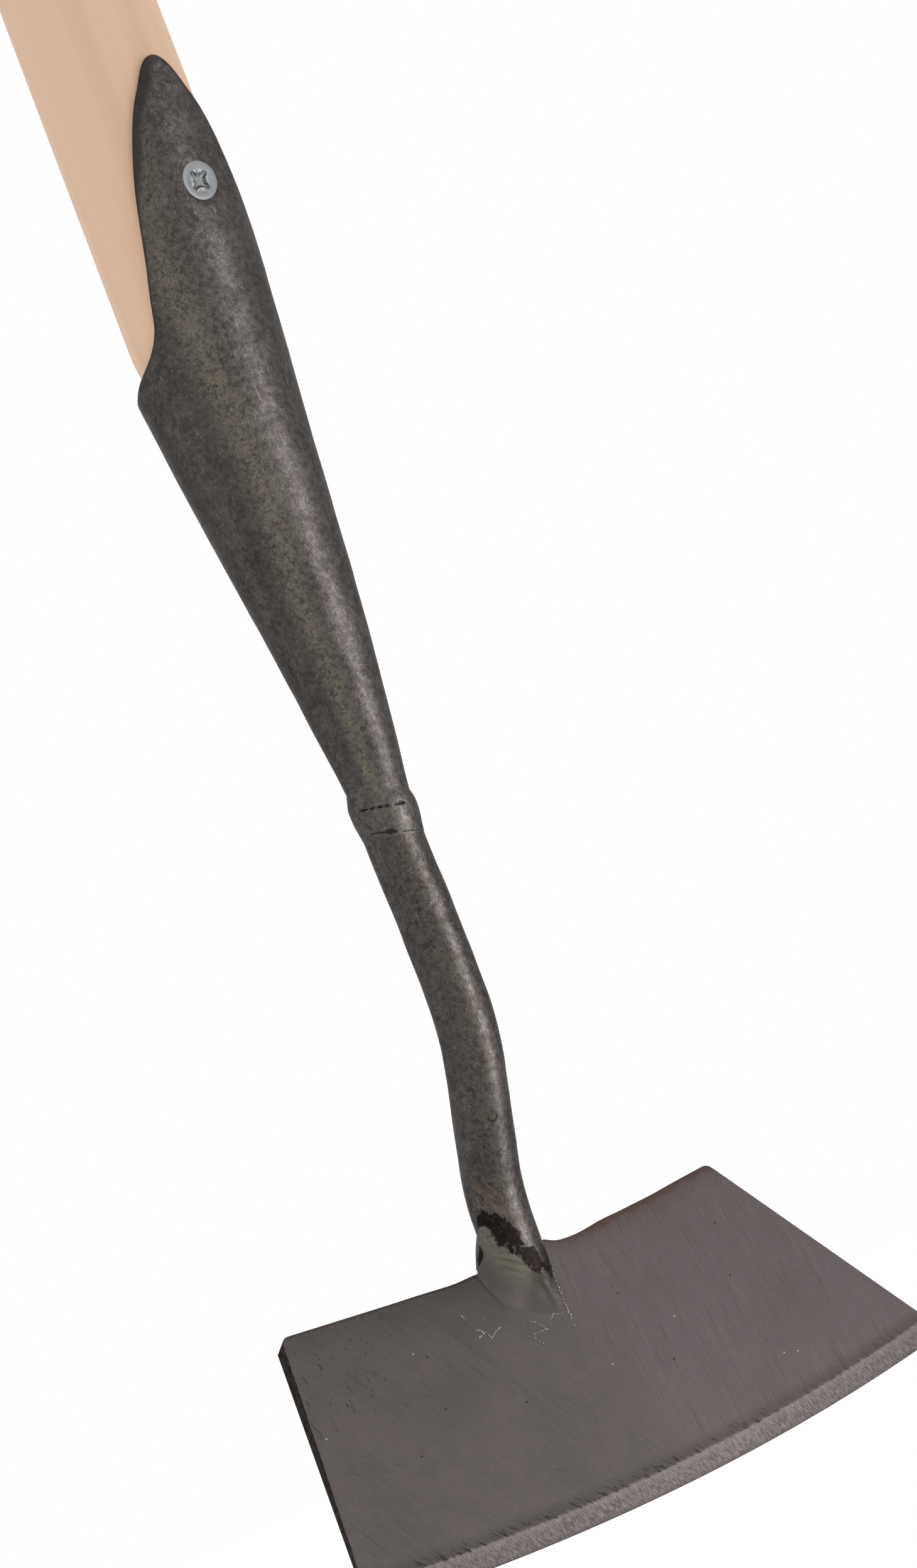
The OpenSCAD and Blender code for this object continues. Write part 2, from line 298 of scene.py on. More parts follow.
class Wire:
    """A socket of a material, so that shader maths reads as ordinary sums."""

    def __init__(self, socket):
        self.socket = socket

    def node(self, kind, settings, sockets, out=0):
        """Adds any node: its settings first, then the values or links of its sockets."""
        tree = self.socket.id_data
        made = tree.nodes.new(kind)
        for name, value in settings.items():
            setattr(made, name, value)
        for name, value in sockets.items():
            if isinstance(value, Wire):
                tree.links.new(value.socket, made.inputs[name])
            else:
                made.inputs[name].default_value = value
        return Wire(made.outputs[out])

    def math(self, operation, *values):
        """Adds a Math node that starts from this value."""
        return self.node("ShaderNodeMath", {"operation": operation}, dict(enumerate((self, *values))))

    def __add__(self, other):
        return self.math("ADD", other)

    __radd__ = __add__

    def __mul__(self, other):
        return self.math("MULTIPLY", other)

    __rmul__ = __mul__

    def __sub__(self, other):
        return self.math("SUBTRACT", other)

    def __rsub__(self, other):
        return self * -1 + other

    def rise(self, low, high):
        """Smooth rise from 0 at low to 1 at high; falls where low is the larger."""
        sockets = {"Value": self, "From Min": low, "From Max": high}
        return self.node("ShaderNodeMapRange", {"interpolation_type": "SMOOTHSTEP"}, sockets)

    def between(self, low, high):
        """The value mapped from 0..1 to low..high."""
        return self.node("ShaderNodeMapRange", {}, {"Value": self, "To Min": low, "To Max": high})

    def paint(self, under, over):
        """Mixes two colours by this value."""
        sockets = {0: self, 6: under, 7: over}
        return self.node("ShaderNodeMix", {"data_type": "RGBA"}, sockets, out=2)

    def placed(self, turn=(0, 0, 0), move=(0, 0, 0), scale=(1, 1, 1)):
        """The coordinates scaled, turned and moved."""
        sockets = {"Vector": self, "Rotation": turn, "Location": move, "Scale": scale}
        return self.node("ShaderNodeMapping", {}, sockets)

    def grain(self, size, detail=3.0, rough=0.55, warp=0.0):
        """Random value between 0 and 1 with grains of about this size."""
        sockets = {"Vector": self, "Scale": 1 / size}
        sockets.update({"Detail": detail, "Roughness": rough, "Distortion": warp})
        return self.node("ShaderNodeTexNoise", {}, sockets)

    def dots(self, size, radius, share):
        """Dots in this share of cells of a given size, 1 inside them."""
        sockets = {"Vector": self, "Scale": 1 / size}
        near = self.node("ShaderNodeTexVoronoi", {}, sockets)
        chance = Wire(near.socket.node.outputs["Color"]).axis(0)
        return near.rise(radius / size, 0.5 * radius / size) * chance.math("LESS_THAN", share)

    def axis(self, index):
        """One of the three parts of a vector or colour."""
        return self.node("ShaderNodeSeparateXYZ", {}, {0: self}, out=index)

    def gap(self, point):
        """Distance from a point."""
        sockets = {0: self, 1: point}
        return self.node("ShaderNodeVectorMath", {"operation": "DISTANCE"}, sockets, out="Value")

    def bump(self, distance, strength=1.0):
        """A normal from this height."""
        sockets = {"Height": self, "Distance": distance, "Strength": strength}
        return self.node("ShaderNodeBump", {}, sockets)

    def kept(self, name):
        """The number that each point of the piece keeps under this name."""
        return self.node("ShaderNodeAttribute", {"attribute_name": name}, {}, out="Fac")


def material(name, metallic, rim, specular=0.5):
    """A new material with grey rims, its shader and a wire with object coordinates."""
    made = bpy.data.materials.new(name)
    made.use_nodes = True
    tree = made.node_tree
    shader = tree.nodes["Principled BSDF"]
    shader.inputs["Metallic"].default_value = metallic
    shader.inputs["Specular Tint"].default_value = (rim, rim, rim, 1)
    shader.inputs["Specular IOR Level"].default_value = specular
    place = Wire(tree.nodes.new("ShaderNodeTexCoord").outputs["Object"])
    return made, shader, place


def feed(shader, **wires):
    """Links wires to the shader's sockets."""
    names = {"base": "Base Color", "roughness": "Roughness", "normal": "Normal"}
    for key, wire in wires.items():
        wire.socket.id_data.links.new(wire.socket, shader.inputs[names[key]])


def rgba(value):
    """A colour with full alpha."""
    return (*value, 1)


# Rims of blackened steel reflect this much
DARK_RIM = 0.58

# Linear colours of single marks and layers
CRUST = (0.040, 0.031, 0.027, 1)
PIT = (0.026, 0.020, 0.017, 1)
WIRE_BRUSHED = (0.140, 0.108, 0.082, 1)
CRACK = (0.020, 0.015, 0.012, 1)
ZINC_DULL = (0.112, 0.116, 0.12, 1)
ZINC_RIM_HIGHLIGHT = (0.21, 0.214, 0.218, 1)
ZINC_BURR_GLINT = (0.42, 0.425, 0.43, 1)
ZINC_RECESS_SHADE = (0.10, 0.104, 0.105, 1)
WORKED_CLOUD = (0.087, 0.077, 0.071, 1)
WORKED_STAIN = (0.070, 0.062, 0.057, 1)
WORKED_BRIGHT = (0.165, 0.148, 0.142, 1)
WORKED_DARK = (0.052, 0.046, 0.042, 1)
SCRATCH = (0.030, 0.026, 0.023, 1)
BLADE_CLOUD = (0.085, 0.073, 0.072, 1)
BLADE_BRIGHT = (0.17, 0.148, 0.147, 1)
BLADE_DARK = (0.055, 0.047, 0.046, 1)
BEVEL_DARK = (0.062, 0.053, 0.053, 1)
BEVEL_BRIGHT = (0.155, 0.137, 0.137, 1)
BEVEL_EDGE = (0.05, 0.042, 0.04, 1)
BEVEL_SHADE = (0.052, 0.047, 0.042, 1)
TOOTH = (0.020, 0.018, 0.016, 1)
BACK_SHADE = (0.045, 0.037, 0.031, 1)
GRIT_DARK = (0.045, 0.039, 0.036, 1)
GRIT_BRIGHT = (0.16, 0.142, 0.138, 1)
SPOT_DARK = (0.024, 0.021, 0.019, 1)
SPOT_BRIGHT = (0.42, 0.40, 0.38, 1)
SIDE_SCALE = (0.016, 0.014, 0.012, 1)
SIDE_WORN = (0.052, 0.043, 0.037, 1)
WELD_OLIVE = (0.158, 0.144, 0.110, 1)
WELD_BROWN = (0.060, 0.049, 0.040, 1)
WELD_SHADE = (0.02, 0.017, 0.015, 1)
BEAD_DULL = (0.13, 0.122, 0.118, 1)
BEAD_BRIGHT = (0.29, 0.28, 0.27, 1)
FLOOR_LOW = (0.975, 0.975, 0.975, 1)
FLOOR_HIGH = (0.985, 0.985, 0.985, 1)

# Marks on the neck, in metres in the frame
SMALL_HOLE = (0.0007, -0.0069, -1.2984)
CURL = (-0.0017, 0.0016, -1.3576)

# Marks on the blade, in millimetres across it and along it from the neck's foot
DARK_SPOTS = (
    (15.8, 18.4), (16.1, 39.2), (50.8, 11.6), (43.9, 25.7),
    (-38.9, 27.5), (-34.6, 14.1), (-50.5, 35.4), (-21.5, 34),
)
BRIGHT_SPOTS = (
    (23.8, 29.6), (2.3, 34.2), (-37, 12.1), (-66.4, 22.6), (40.8, 49.2), (44.1, 50.3),
)


def ash_wood(finish):
    """Bare ash: soft streaks, growth rings cut lengthwise and fine open pores."""
    made, shader, place = material("ash_wood", 0.0, 1.0, 0.25)
    ring_width = 2.6 * MM
    streak = place.placed(scale=(1, 1, 0.05)).grain(9 * MM, 2.0, 0.5, 0.4).rise(0.42, 0.66)
    heart = place.placed(move=(0.021, 0.034, 0), scale=(1, 1, 0.012))
    off_x = heart.axis(0)
    off_y = heart.axis(1)
    reach = (off_x * off_x + off_y * off_y).math("SQRT")
    waver = place.placed(scale=(1, 1, 0.04)).grain(16 * MM, 2.0)
    ring = ((reach + waver * 0.008) * (2 * math.pi / ring_width)).math("SINE").rise(0.2, 1.0)
    pore = place.placed(scale=(1, 1, 0.06)).grain(0.5 * MM, 2.0, 0.6).rise(0.58, 0.75)
    cloud = place.placed(scale=(1, 1, 0.2)).grain(40 * MM, 2.0)
    tone = streak * 0.5 + ring * 0.07 + pore * 0.07 + cloud * 0.35 - 0.08
    feed(
        shader,
        base=tone.paint(rgba(finish.ash), rgba(finish.ash_dark)),
        roughness=0.58 + pore * 0.1 - ring * 0.05,
        normal=(pore * -0.7 + ring * -0.3).bump(0.05 * MM, 0.5),
    )
    return made


def forged_skin(finish, place):
    """Colour, roughness and height of blackened, rubbed forged steel."""
    mottle = place.grain(1.5 * MM, 4.0, 0.65).rise(0.36, 0.64)
    patch = place.grain(4.5 * MM, 3.0, 0.6).rise(0.36, 0.66)
    cloud = place.grain(17 * MM, 3.0, 0.55).rise(0.35, 0.7)
    tone = mottle * 0.55 + patch * 0.22 + cloud * 0.23
    base = tone.paint(rgba(finish.forged_dark), rgba(finish.forged))
    speckle = place.grain(0.7 * MM, 3.0, 0.6).rise(0.42, 0.62)
    # Olive streaks: oiled colour, and in the socket's streak at -36 degrees a painted reflection
    yellow = place.kept("olive") * (speckle * 0.65 + mottle * 0.35 + 0.1)
    base = yellow.paint(base, rgba(finish.olive))
    soot = place.kept("soot") * (0.3 + mottle * 0.4 + patch * 0.3)
    base = (soot * 0.6).paint(base, rgba(finish.forged_dark))
    grit = place.grain(0.42 * MM, 2.0, 0.6)
    fleck = place.grain(0.55 * MM, 2.0, 0.6, 1.0).rise(0.57, 0.73) * (0.3 + patch * 0.7)
    slanted = place.placed(turn=(0.5, 0.3, 0), scale=(1, 1, 0.15))
    scratch = slanted.grain(0.6 * MM, 1.0).rise(0.68, 0.76)
    base = (fleck * 0.42 + scratch * 0.2).paint(base, rgba(finish.fleck))
    height = mottle * 0.6 + grit
    rough = 0.44 - patch * 0.05
    return base, rough, height


def socket_steel(finish):
    """Forged steel with a smooth band along the socket's mouth, darkened there as painted shade."""
    made, shader, place = material("socket_steel", 1.0, DARK_RIM)
    base, rough, height = forged_skin(finish, place)
    band = place.kept("band")
    # Painted shade along the rounded mouth edge, which is also made smoother
    base = (band * 0.8).paint(base, rgba(finish.forged_dark))
    height = height * (1 - band * 0.8)
    feed(shader, base=base, roughness=rough, normal=height.bump(0.07 * MM, 0.7))
    return made


def burnt_scale(finish, place):
    """Where scale was burnt on, its broken colour and its height; on the blade's weld this also paints shade
    into the pocket.
    """
    break_up = place.grain(3.4 * MM, 5.0, 0.7, 0.6)
    crust = place.grain(1.1 * MM, 4.0, 0.7)
    burnt = place.kept("burnt")
    share = (burnt + break_up * 3.2 - 1.6).rise(0.34, 0.64) * burnt.rise(0, 0.2)
    tint = (crust.rise(0.46, 0.7) * 0.7).paint(rgba(finish.burnt), CRUST)
    return share, tint, crust


def neck_steel(finish):
    """Forged steel with pits down the neck, burnt scale and brushed streaks above the weld."""
    made, shader, place = material("neck_steel", 1.0, DARK_RIM)
    base, rough, height = forged_skin(finish, place)
    pit = place.grain(1.7 * MM, 4.0, 0.65).rise(0.52, 0.66) * (0.25 + place.kept("soot") * 0.75)
    ring = (place.gap(CURL) - 1.0 * MM).math("ABSOLUTE").rise(0.4 * MM, 0.2 * MM)
    ring = ring * place.axis(2).rise(CURL[2] + 0.6 * MM, CURL[2])
    hole = place.gap(SMALL_HOLE).rise(0.55 * MM, 0.35 * MM)
    pit = pit.math("MAXIMUM", ring).math("MAXIMUM", hole)
    burnt, tint, crust = burnt_scale(finish, place)
    slanted = place.placed(turn=(0, 0.55, 0)).placed(scale=(1, 1, 0.07))
    brushed = place.kept("brushed") * slanted.grain(0.7 * MM, 3.0).rise(0.44, 0.6)
    base = (pit * 0.8).paint(base, PIT)
    base = (brushed * 0.75).paint(base, WIRE_BRUSHED)
    base = (burnt * 0.95).paint(base, tint)
    height = height * (1 - burnt * 0.5) - pit * 0.9 + burnt * crust * 3
    rough = rough + burnt * 0.16 - 0.02
    feed(shader, base=base, roughness=rough, normal=height.bump(0.05 * MM, 0.8))
    return made


def weld_steel(finish):
    """The weld ring, with its cracks left black."""
    made, shader, place = material("weld_steel", 1.0, DARK_RIM)
    base, rough, height = forged_skin(finish, place)
    base = (place.grain(1.2 * MM).rise(0.4, 0.7) * 0.16).paint(base, rgba(finish.fleck))
    base = (place.kept("crack").rise(0.1, 0.8) * 0.85).paint(base, CRACK)
    feed(shader, base=base, roughness=rough, normal=height.bump(0.07 * MM, 0.7))
    return made


def zinc_plate(sizes, finish):
    """Dull zinc plating: faint turned rings, painted shade in the recess, a painted highlight round the
    head's rim and painted glints on the burr round the recess.
    """
    made, shader, place = material("zinc_plate", 1.0, 0.45)
    ring_width = 0.8 * MM
    off = place.gap(screw_frame(sizes).translation)
    ring = (off * (2 * math.pi / ring_width)).math("SINE").rise(-0.4, 1.0)
    cloud = place.grain(2.2 * MM, 4.0, 0.6)
    base = (cloud.rise(0.35, 0.7) * 0.7 + ring * 0.3).paint(ZINC_DULL, rgba(finish.zinc))
    # Painted highlight round the bevelled rim of the head
    base = (off.rise(3.7 * MM, 4.4 * MM) * 0.3).paint(base, ZINC_RIM_HIGHLIGHT)
    # Painted glints on the burr round the recess
    burr = place.kept("burr") * place.grain(0.6 * MM, 2.0).rise(0.45, 0.62)
    base = (burr * 0.5).paint(base, ZINC_BURR_GLINT)
    # Painted shade in the recess, darkest on its walls
    base = (place.kept("recess") * 0.8).paint(base, ZINC_RECESS_SHADE)
    feed(shader, base=base, roughness=cloud.between(0.42, 0.58), normal=cloud.bump(0.05 * MM, 0.4))
    return made


def blade_place(sizes, place):
    """Coordinates across and along the blade's face."""
    turn = math.pi / 2 + sizes.blade_angle
    move = Matrix.Rotation(turn, 3, "X") @ -Vector(neck_foot(sizes))
    return place.placed(turn=(turn, 0, 0), move=move)


def grind_lines(flat, slant, size, reach):
    """Fine lines along the blade, slanted from its middle line."""
    along = flat.placed(turn=(0, 0, slant)).placed(scale=(1, 1 / reach, 1))
    return along.grain(size, 3.0, 0.6, 0.3)


def worked_steel(finish, flat):
    """Colour and height of the steel dressed beside the weld: faint slanted lines and cloudy stains."""
    lines = grind_lines(flat, 0.30, 0.6 * MM, 36)
    cloud = flat.grain(15 * MM, 4.0, 0.62).rise(0.32, 0.7)
    fine = flat.grain(1.6 * MM, 4.0, 0.7)
    keen = 0.25 + flat.grain(30 * MM, 2.0).rise(0.4, 0.65) * 0.75
    base = cloud.paint(rgba(finish.blade_worked), WORKED_CLOUD)
    base = (fine.rise(0.4, 0.7) * 0.22).paint(base, WORKED_STAIN)
    base = (lines.rise(0.56, 0.74) * keen * 0.2).paint(base, WORKED_BRIGHT)
    base = (lines.rise(0.44, 0.28) * keen * 0.35).paint(base, WORKED_DARK)
    scratch = grind_lines(flat, 0.95, 0.5 * MM, 16).rise(0.69, 0.76)
    base = (scratch * 0.5).paint(base, SCRATCH)
    return base, lines * 0.6 + fine * 0.5


def ground_face(finish, flat, across, along, rest, rest_height):
    """Colour, height and clouds of the face: ground to the right, and dressed beside the weld."""
    spread = along.rise(4 * MM, 40 * MM)
    wander = (flat.grain(7 * MM, 3.0, 0.6) - 0.5) * spread * (14 * MM)
    border = across - along.rise(23 * MM, 5 * MM) * (4.6 * MM) + wander
    soft = spread * (7 * MM)
    worked = border.rise(soft + 1.6 * MM, 0.6 * MM - soft)
    lines = grind_lines(flat, -0.25, 0.5 * MM, 30)
    cloud = flat.grain(24 * MM, 3.0, 0.6)
    base = (cloud.rise(0.35, 0.75) * 0.4).paint(rgba(finish.blade), BLADE_CLOUD)
    base = (lines.rise(0.54, 0.74) * 0.25).paint(base, BLADE_BRIGHT)
    base = (lines.rise(0.46, 0.28) * 0.4).paint(base, BLADE_DARK)
    return worked.paint(base, rest), worked * rest_height + (1 - worked) * lines, cloud


def ground_bevel(finish, flat, across, to_edge):
    """Where the bevel was ground, its colour, its lines and the teeth that it pulled from the face."""
    pulls = grind_lines(flat, 0.50, 0.7 * MM, 5)
    bevel = (to_edge + (pulls - 0.5) * 2.2).rise(4.8, 4.3)
    lines = grind_lines(flat, 0.30, 0.34 * MM, 44)
    base = lines.rise(0.36, 0.66).paint(BEVEL_DARK, rgba(finish.bevel))
    base = (to_edge.rise(2.4, 4.4) * 0.3).paint(base, BEVEL_BRIGHT)
    base = (to_edge.rise(1.0, 0.2) * 0.4).paint(base, BEVEL_EDGE)
    clump = flat.grain(9 * MM, 2.0).rise(0.36, 0.6)
    teeth = (pulls + clump * 0.08).rise(0.6, 0.68) * to_edge.rise(8.0, 4.8)
    teeth = teeth * (0.45 + across.rise(40 * MM, 10 * MM) * 0.55)
    return bevel, base, lines, teeth


def with_spots(dots, flat, spots, rim, core):
    """Dots with single round spots added, each soft between its rim and its core."""
    level = flat.placed(scale=(1, 1, 0))
    for x, s in spots:
        dots = dots.math("MAXIMUM", level.gap((x * MM, s * MM, 0)).rise(rim, core))
    return dots


def blade_marks(flat, across, along):
    """Dark spots and curls, bright specks and the crease to the left of the weld."""
    dark = flat.dots(11 * MM, 0.3 * MM, 0.2)
    dark = with_spots(dark, flat, DARK_SPOTS, 0.34 * MM, 0.2 * MM)
    curl = flat.placed(turn=(0, 0, 0.7), scale=(1, 0.3, 1)).grain(1.1 * MM, 2.0, 0.5, 1.2)
    corner = across.rise(-32 * MM, -42 * MM) * along.rise(26 * MM, 20 * MM)
    dark = dark.math("MAXIMUM", curl.rise(0.66, 0.71) * corner * 0.8)
    bright = flat.placed(move=(4 * MM, 11 * MM, 0)).dots(9 * MM, 0.25 * MM, 0.12)
    bright = with_spots(bright, flat, BRIGHT_SPOTS, 0.24 * MM, 0.14 * MM)
    crease = (across - along * 0.08 + 11.8 * MM).math("ABSOLUTE").rise(0.4 * MM, 0.1 * MM)
    return dark, bright, crease * along.rise(12 * MM, 9 * MM)


def blade_steel(sizes, finish):
    """Ground steel: the face and its bevel, rust at the back edge, grit, small marks and a plain sole."""
    made, shader, place = material("blade_steel", 1.0, 0.6)
    flat = blade_place(sizes, place)
    across = flat.axis(0)
    along = flat.axis(1)
    to_edge = place.kept("to_edge")
    to_back = place.kept("to_back")
    rest, rest_height = worked_steel(finish, flat)
    base, height, cloud = ground_face(finish, flat, across, along, rest, rest_height)
    bevel, fresh_cut, bevel_lines, teeth = ground_bevel(finish, flat, across, to_edge)
    base = (to_edge.rise(8.8, 4.6) * 0.55).paint(base, BEVEL_SHADE)
    base = (teeth * 0.85).paint(base, TOOTH)
    base = bevel.paint(base, fresh_cut)
    base = (to_back.rise(7, 0.5) * 0.25 + to_back.rise(0.9, 0.3) * 0.35).paint(base, BACK_SHADE)
    stain = to_back.rise(3.8, 0.2) * 0.7 + flat.grain(3 * MM, 5.0, 0.68) * 1.4 - 0.88
    stain = stain.rise(0.05, 0.5) * across.rise(8 * MM, 24 * MM)
    base = (stain * 0.8).paint(base, rgba(finish.rust))
    grit = flat.grain(0.55 * MM, 3.0, 0.7)
    base = (grit.rise(0.5, 0.72) * 0.22 * (1 - bevel)).paint(base, GRIT_DARK)
    base = (grit.rise(0.42, 0.28) * 0.2 * (1 - bevel)).paint(base, GRIT_BRIGHT)
    dark, bright, crease = blade_marks(flat, across, along)
    base = (dark * 0.8).paint(base, SPOT_DARK)
    base = (bright * 0.8).paint(base, SPOT_BRIGHT)
    base = (crease * 0.45).paint(base, SCRATCH)
    base = flat.axis(2).rise(2.75 * MM, 2.9 * MM).paint(base, rest)
    height = height * (1 - bevel) + bevel_lines * bevel * 1.3 - dark * 0.8
    feed(shader, base=base, roughness=0.46 + cloud * 0.1, normal=height.bump(0.05 * MM, 0.5))
    return made


def blade_side(finish):
    """The cut sides of the blade: dark scale with a few bare scratches."""
    made, shader, place = material("blade_side", 1.0, DARK_RIM)
    scale = place.grain(1.4 * MM, 5.0, 0.7).rise(0.35, 0.7)
    bare = place.grain(0.5 * MM, 3.0, 0.7).rise(0.64, 0.76)
    base = scale.paint(SIDE_SCALE, SIDE_WORN)
    base = (bare * 0.3).paint(base, rgba(finish.fleck))
    feed(shader, base=base, roughness=0.6 - bare * 0.15, normal=scale.bump(0.15 * MM, 0.6))
    return made


def ground_weld(sizes, finish):
    """Weld ground flush: it runs on from the blade, olive near the neck and burnt where they meet."""
    made, shader, place = material("ground_weld", 1.0, 0.55)
    flat = blade_place(sizes, place)
    base, height = worked_steel(finish, flat)
    stroke = grind_lines(flat, 0.85, 0.7 * MM, 12)
    olive = place.kept("olive")
    base = (olive * (0.55 + stroke.rise(0.35, 0.65) * 0.45) * 0.85).paint(base, WELD_OLIVE)
    base = (stroke.rise(0.46, 0.3) * olive * 0.5).paint(base, WELD_BROWN)
    base = place.kept("shade").paint(base, WELD_SHADE)
    base = place.kept("forged").paint(base, forged_skin(finish, place)[0])
    # Burnt scale, and painted shade in the pocket on the left
    burnt, tint, crust = burnt_scale(finish, place)
    base = (burnt * 0.95).paint(base, tint)
    height = height + stroke * 0.5 + burnt * crust * 3
    feed(shader, base=base, roughness=0.48 + burnt * 0.15, normal=height.bump(0.05 * MM, 0.6))
    return made


def spatter_steel():
    """Bright beads of weld spatter."""
    made, shader, place = material("spatter_steel", 1.0, 0.6)
    grit = place.grain(0.4 * MM, 3.0, 0.6)
    base = grit.rise(0.35, 0.7).paint(BEAD_DULL, BEAD_BRIGHT)
    feed(shader, base=base, roughness=grit.between(0.35, 0.55), normal=grit.bump(0.05 * MM, 0.5))
    return made


class SocketForm:
    """Radii and outlines of the socket, in metres above its nose; angles run from the tongue's middle."""

    def __init__(self, sizes):
        self.turn = math.radians(6.5)
        self.lean = np.array([-1.38, 0.81]) * MM
        self.lean_span = 3 * MM
        self.thin_wall = 0.6 * MM
        self.slack = 0.1 * MM
        self.blend = 44 * MM
        self.length = sizes.socket_length
        self.tip = sizes.socket_length + sizes.tongue_length
        self.nose_r = sizes.nose_d / 2
        self.handle_r = sizes.handle_d / 2
        self.end_r = sizes.handle_end_d / 2
        self.end = sizes.socket_length - sizes.handle_depth
        self.seat = sizes.socket_length + 7 * MM
        self.rim_r = self.handle_r + sizes.rim_stand
        self.tongue_r = self.handle_r + sizes.tongue_t
        self.full = 0.4 * MM
        self.cut = math.tan(sizes.cut_angle)
        self.cut_angle = sizes.cut_angle
        self.tongue_length = sizes.tongue_length
        self.hollow_r = sizes.hollow_r

    def outer(self, z):
        """Outer radius at a height."""
        u = z / self.length
        cone = self.nose_r + (self.rim_r - self.nose_r) * u + 4 * self.full * u * (1 - u)
        t = np.clip((z - self.length) / self.blend, 0, 1)
        tongue = self.rim_r * (1 - t) ** 2 + self.tongue_r * (2 * t - t * t)
        return np.where(z <= self.length, cone, tongue)

    def middle(self, z):
        """Middle of the socket at a height: it leans to one side, most at the back rim."""
        share = eased(30 * MM, self.length - self.lean_span, z)
        share = share * (1 - eased(self.length + self.lean_span, self.tip, z))
        return np.asarray(share)[..., None] * self.lean

    def way(self, turn):
        """Direction across the axis at an angle from the tongue's middle."""
        return np.stack([np.sin(turn + self.turn), -np.cos(turn + self.turn)], -1)

    def bore(self, turn, z):
        """Radius of the handle inside the socket and the tongue."""
        slope = (self.handle_r - self.end_r) / (self.seat - self.end)
        seat = np.clip(self.end_r + slope * (z - self.end), self.end_r, self.handle_r)
        room = self.outer(z) + (self.middle(z) * self.way(turn)).sum(-1) - self.thin_wall
        return np.where(z < self.tip - 20 * MM, np.minimum(seat, room), seat)

    def mouth(self, turn):
        """Height of the slanted mouth at an angle."""
        corner = self.tongue_length * self.cut - self.tongue_r
        run = self.hollow_r * math.tan(math.pi / 4 - self.cut_angle / 2)
        middle = corner + run
        low = corner - run * math.sin(self.cut_angle)
        z = np.full_like(turn, self.length + 5 * MM)
        for step in range(30):
            y = -self.outer(z) * np.cos(turn)
            drop = np.sqrt(np.clip(self.hollow_r ** 2 - (y - middle) ** 2, 0, None))
            arc = self.length + self.hollow_r - drop
            slant = self.length + (corner - y) / self.cut
            z = (z + np.where(y < low, slant, np.where(y < middle, arc, self.length))) / 2
        return z + self.filing(np.degrees(np.abs(turn)))

    def filing(self, off):
        """How far the mouth was filed by hand: a blunt point, deeper hollows and a lower back rim."""
        point = -1.4 * np.exp(-((off - 19) / 8.5) ** 2)
        hollow = -3.4 * np.exp(-((off - 54) / 6.5) ** 2)
        return (point + hollow - 2.6 * eased(84, 125, off)) * MM

    def edge_width(self, z):
        """Width of the rounded edge: broad round the point, narrow below."""
        return (0.9 + 1.8 * eased(150 * MM, 168 * MM, z)) * MM

    def outside(self, turn, z, drop):
        """Point on the outer skin, sunk by a drop."""
        across = self.middle(z) + (self.outer(z) - drop)[..., None] * self.way(turn)
        return np.concatenate([across, np.asarray(z + NOSE)[..., None]], -1)

    def inside(self, turn, z):
        """Point on the skin against the handle."""
        across = (self.bore(turn, z) + self.slack)[..., None] * self.way(turn)
        return np.concatenate([across, np.asarray(z + NOSE)[..., None]], -1)


# Strip lamps: width in metres, watts per square metre, and the ends and target of each in the frame
STRIP_WIDTH = 0.17
STRIP_GLOW = 20
HIGH_STRIP = ((0.28, -0.478, -1.0), (0.28, -0.478, -1.42), (0, 0, -1.2))
LOW_STRIP = ((0.28, -0.468, -1.372), (0.335, -0.25, -1.74), (0, 0.012, -1.34))

# Side of the floor and its depth below the hoe, in metres
FLOOR_SIZE = 12
FLOOR_DROP = 0.58


def facing(right, back):
    """Turn of a lamp or a camera from its way to the right and its way back."""
    back = back.normalized()
    up = back.cross(right).normalized()
    return Matrix((up.cross(back), up, back)).transposed().to_euler()


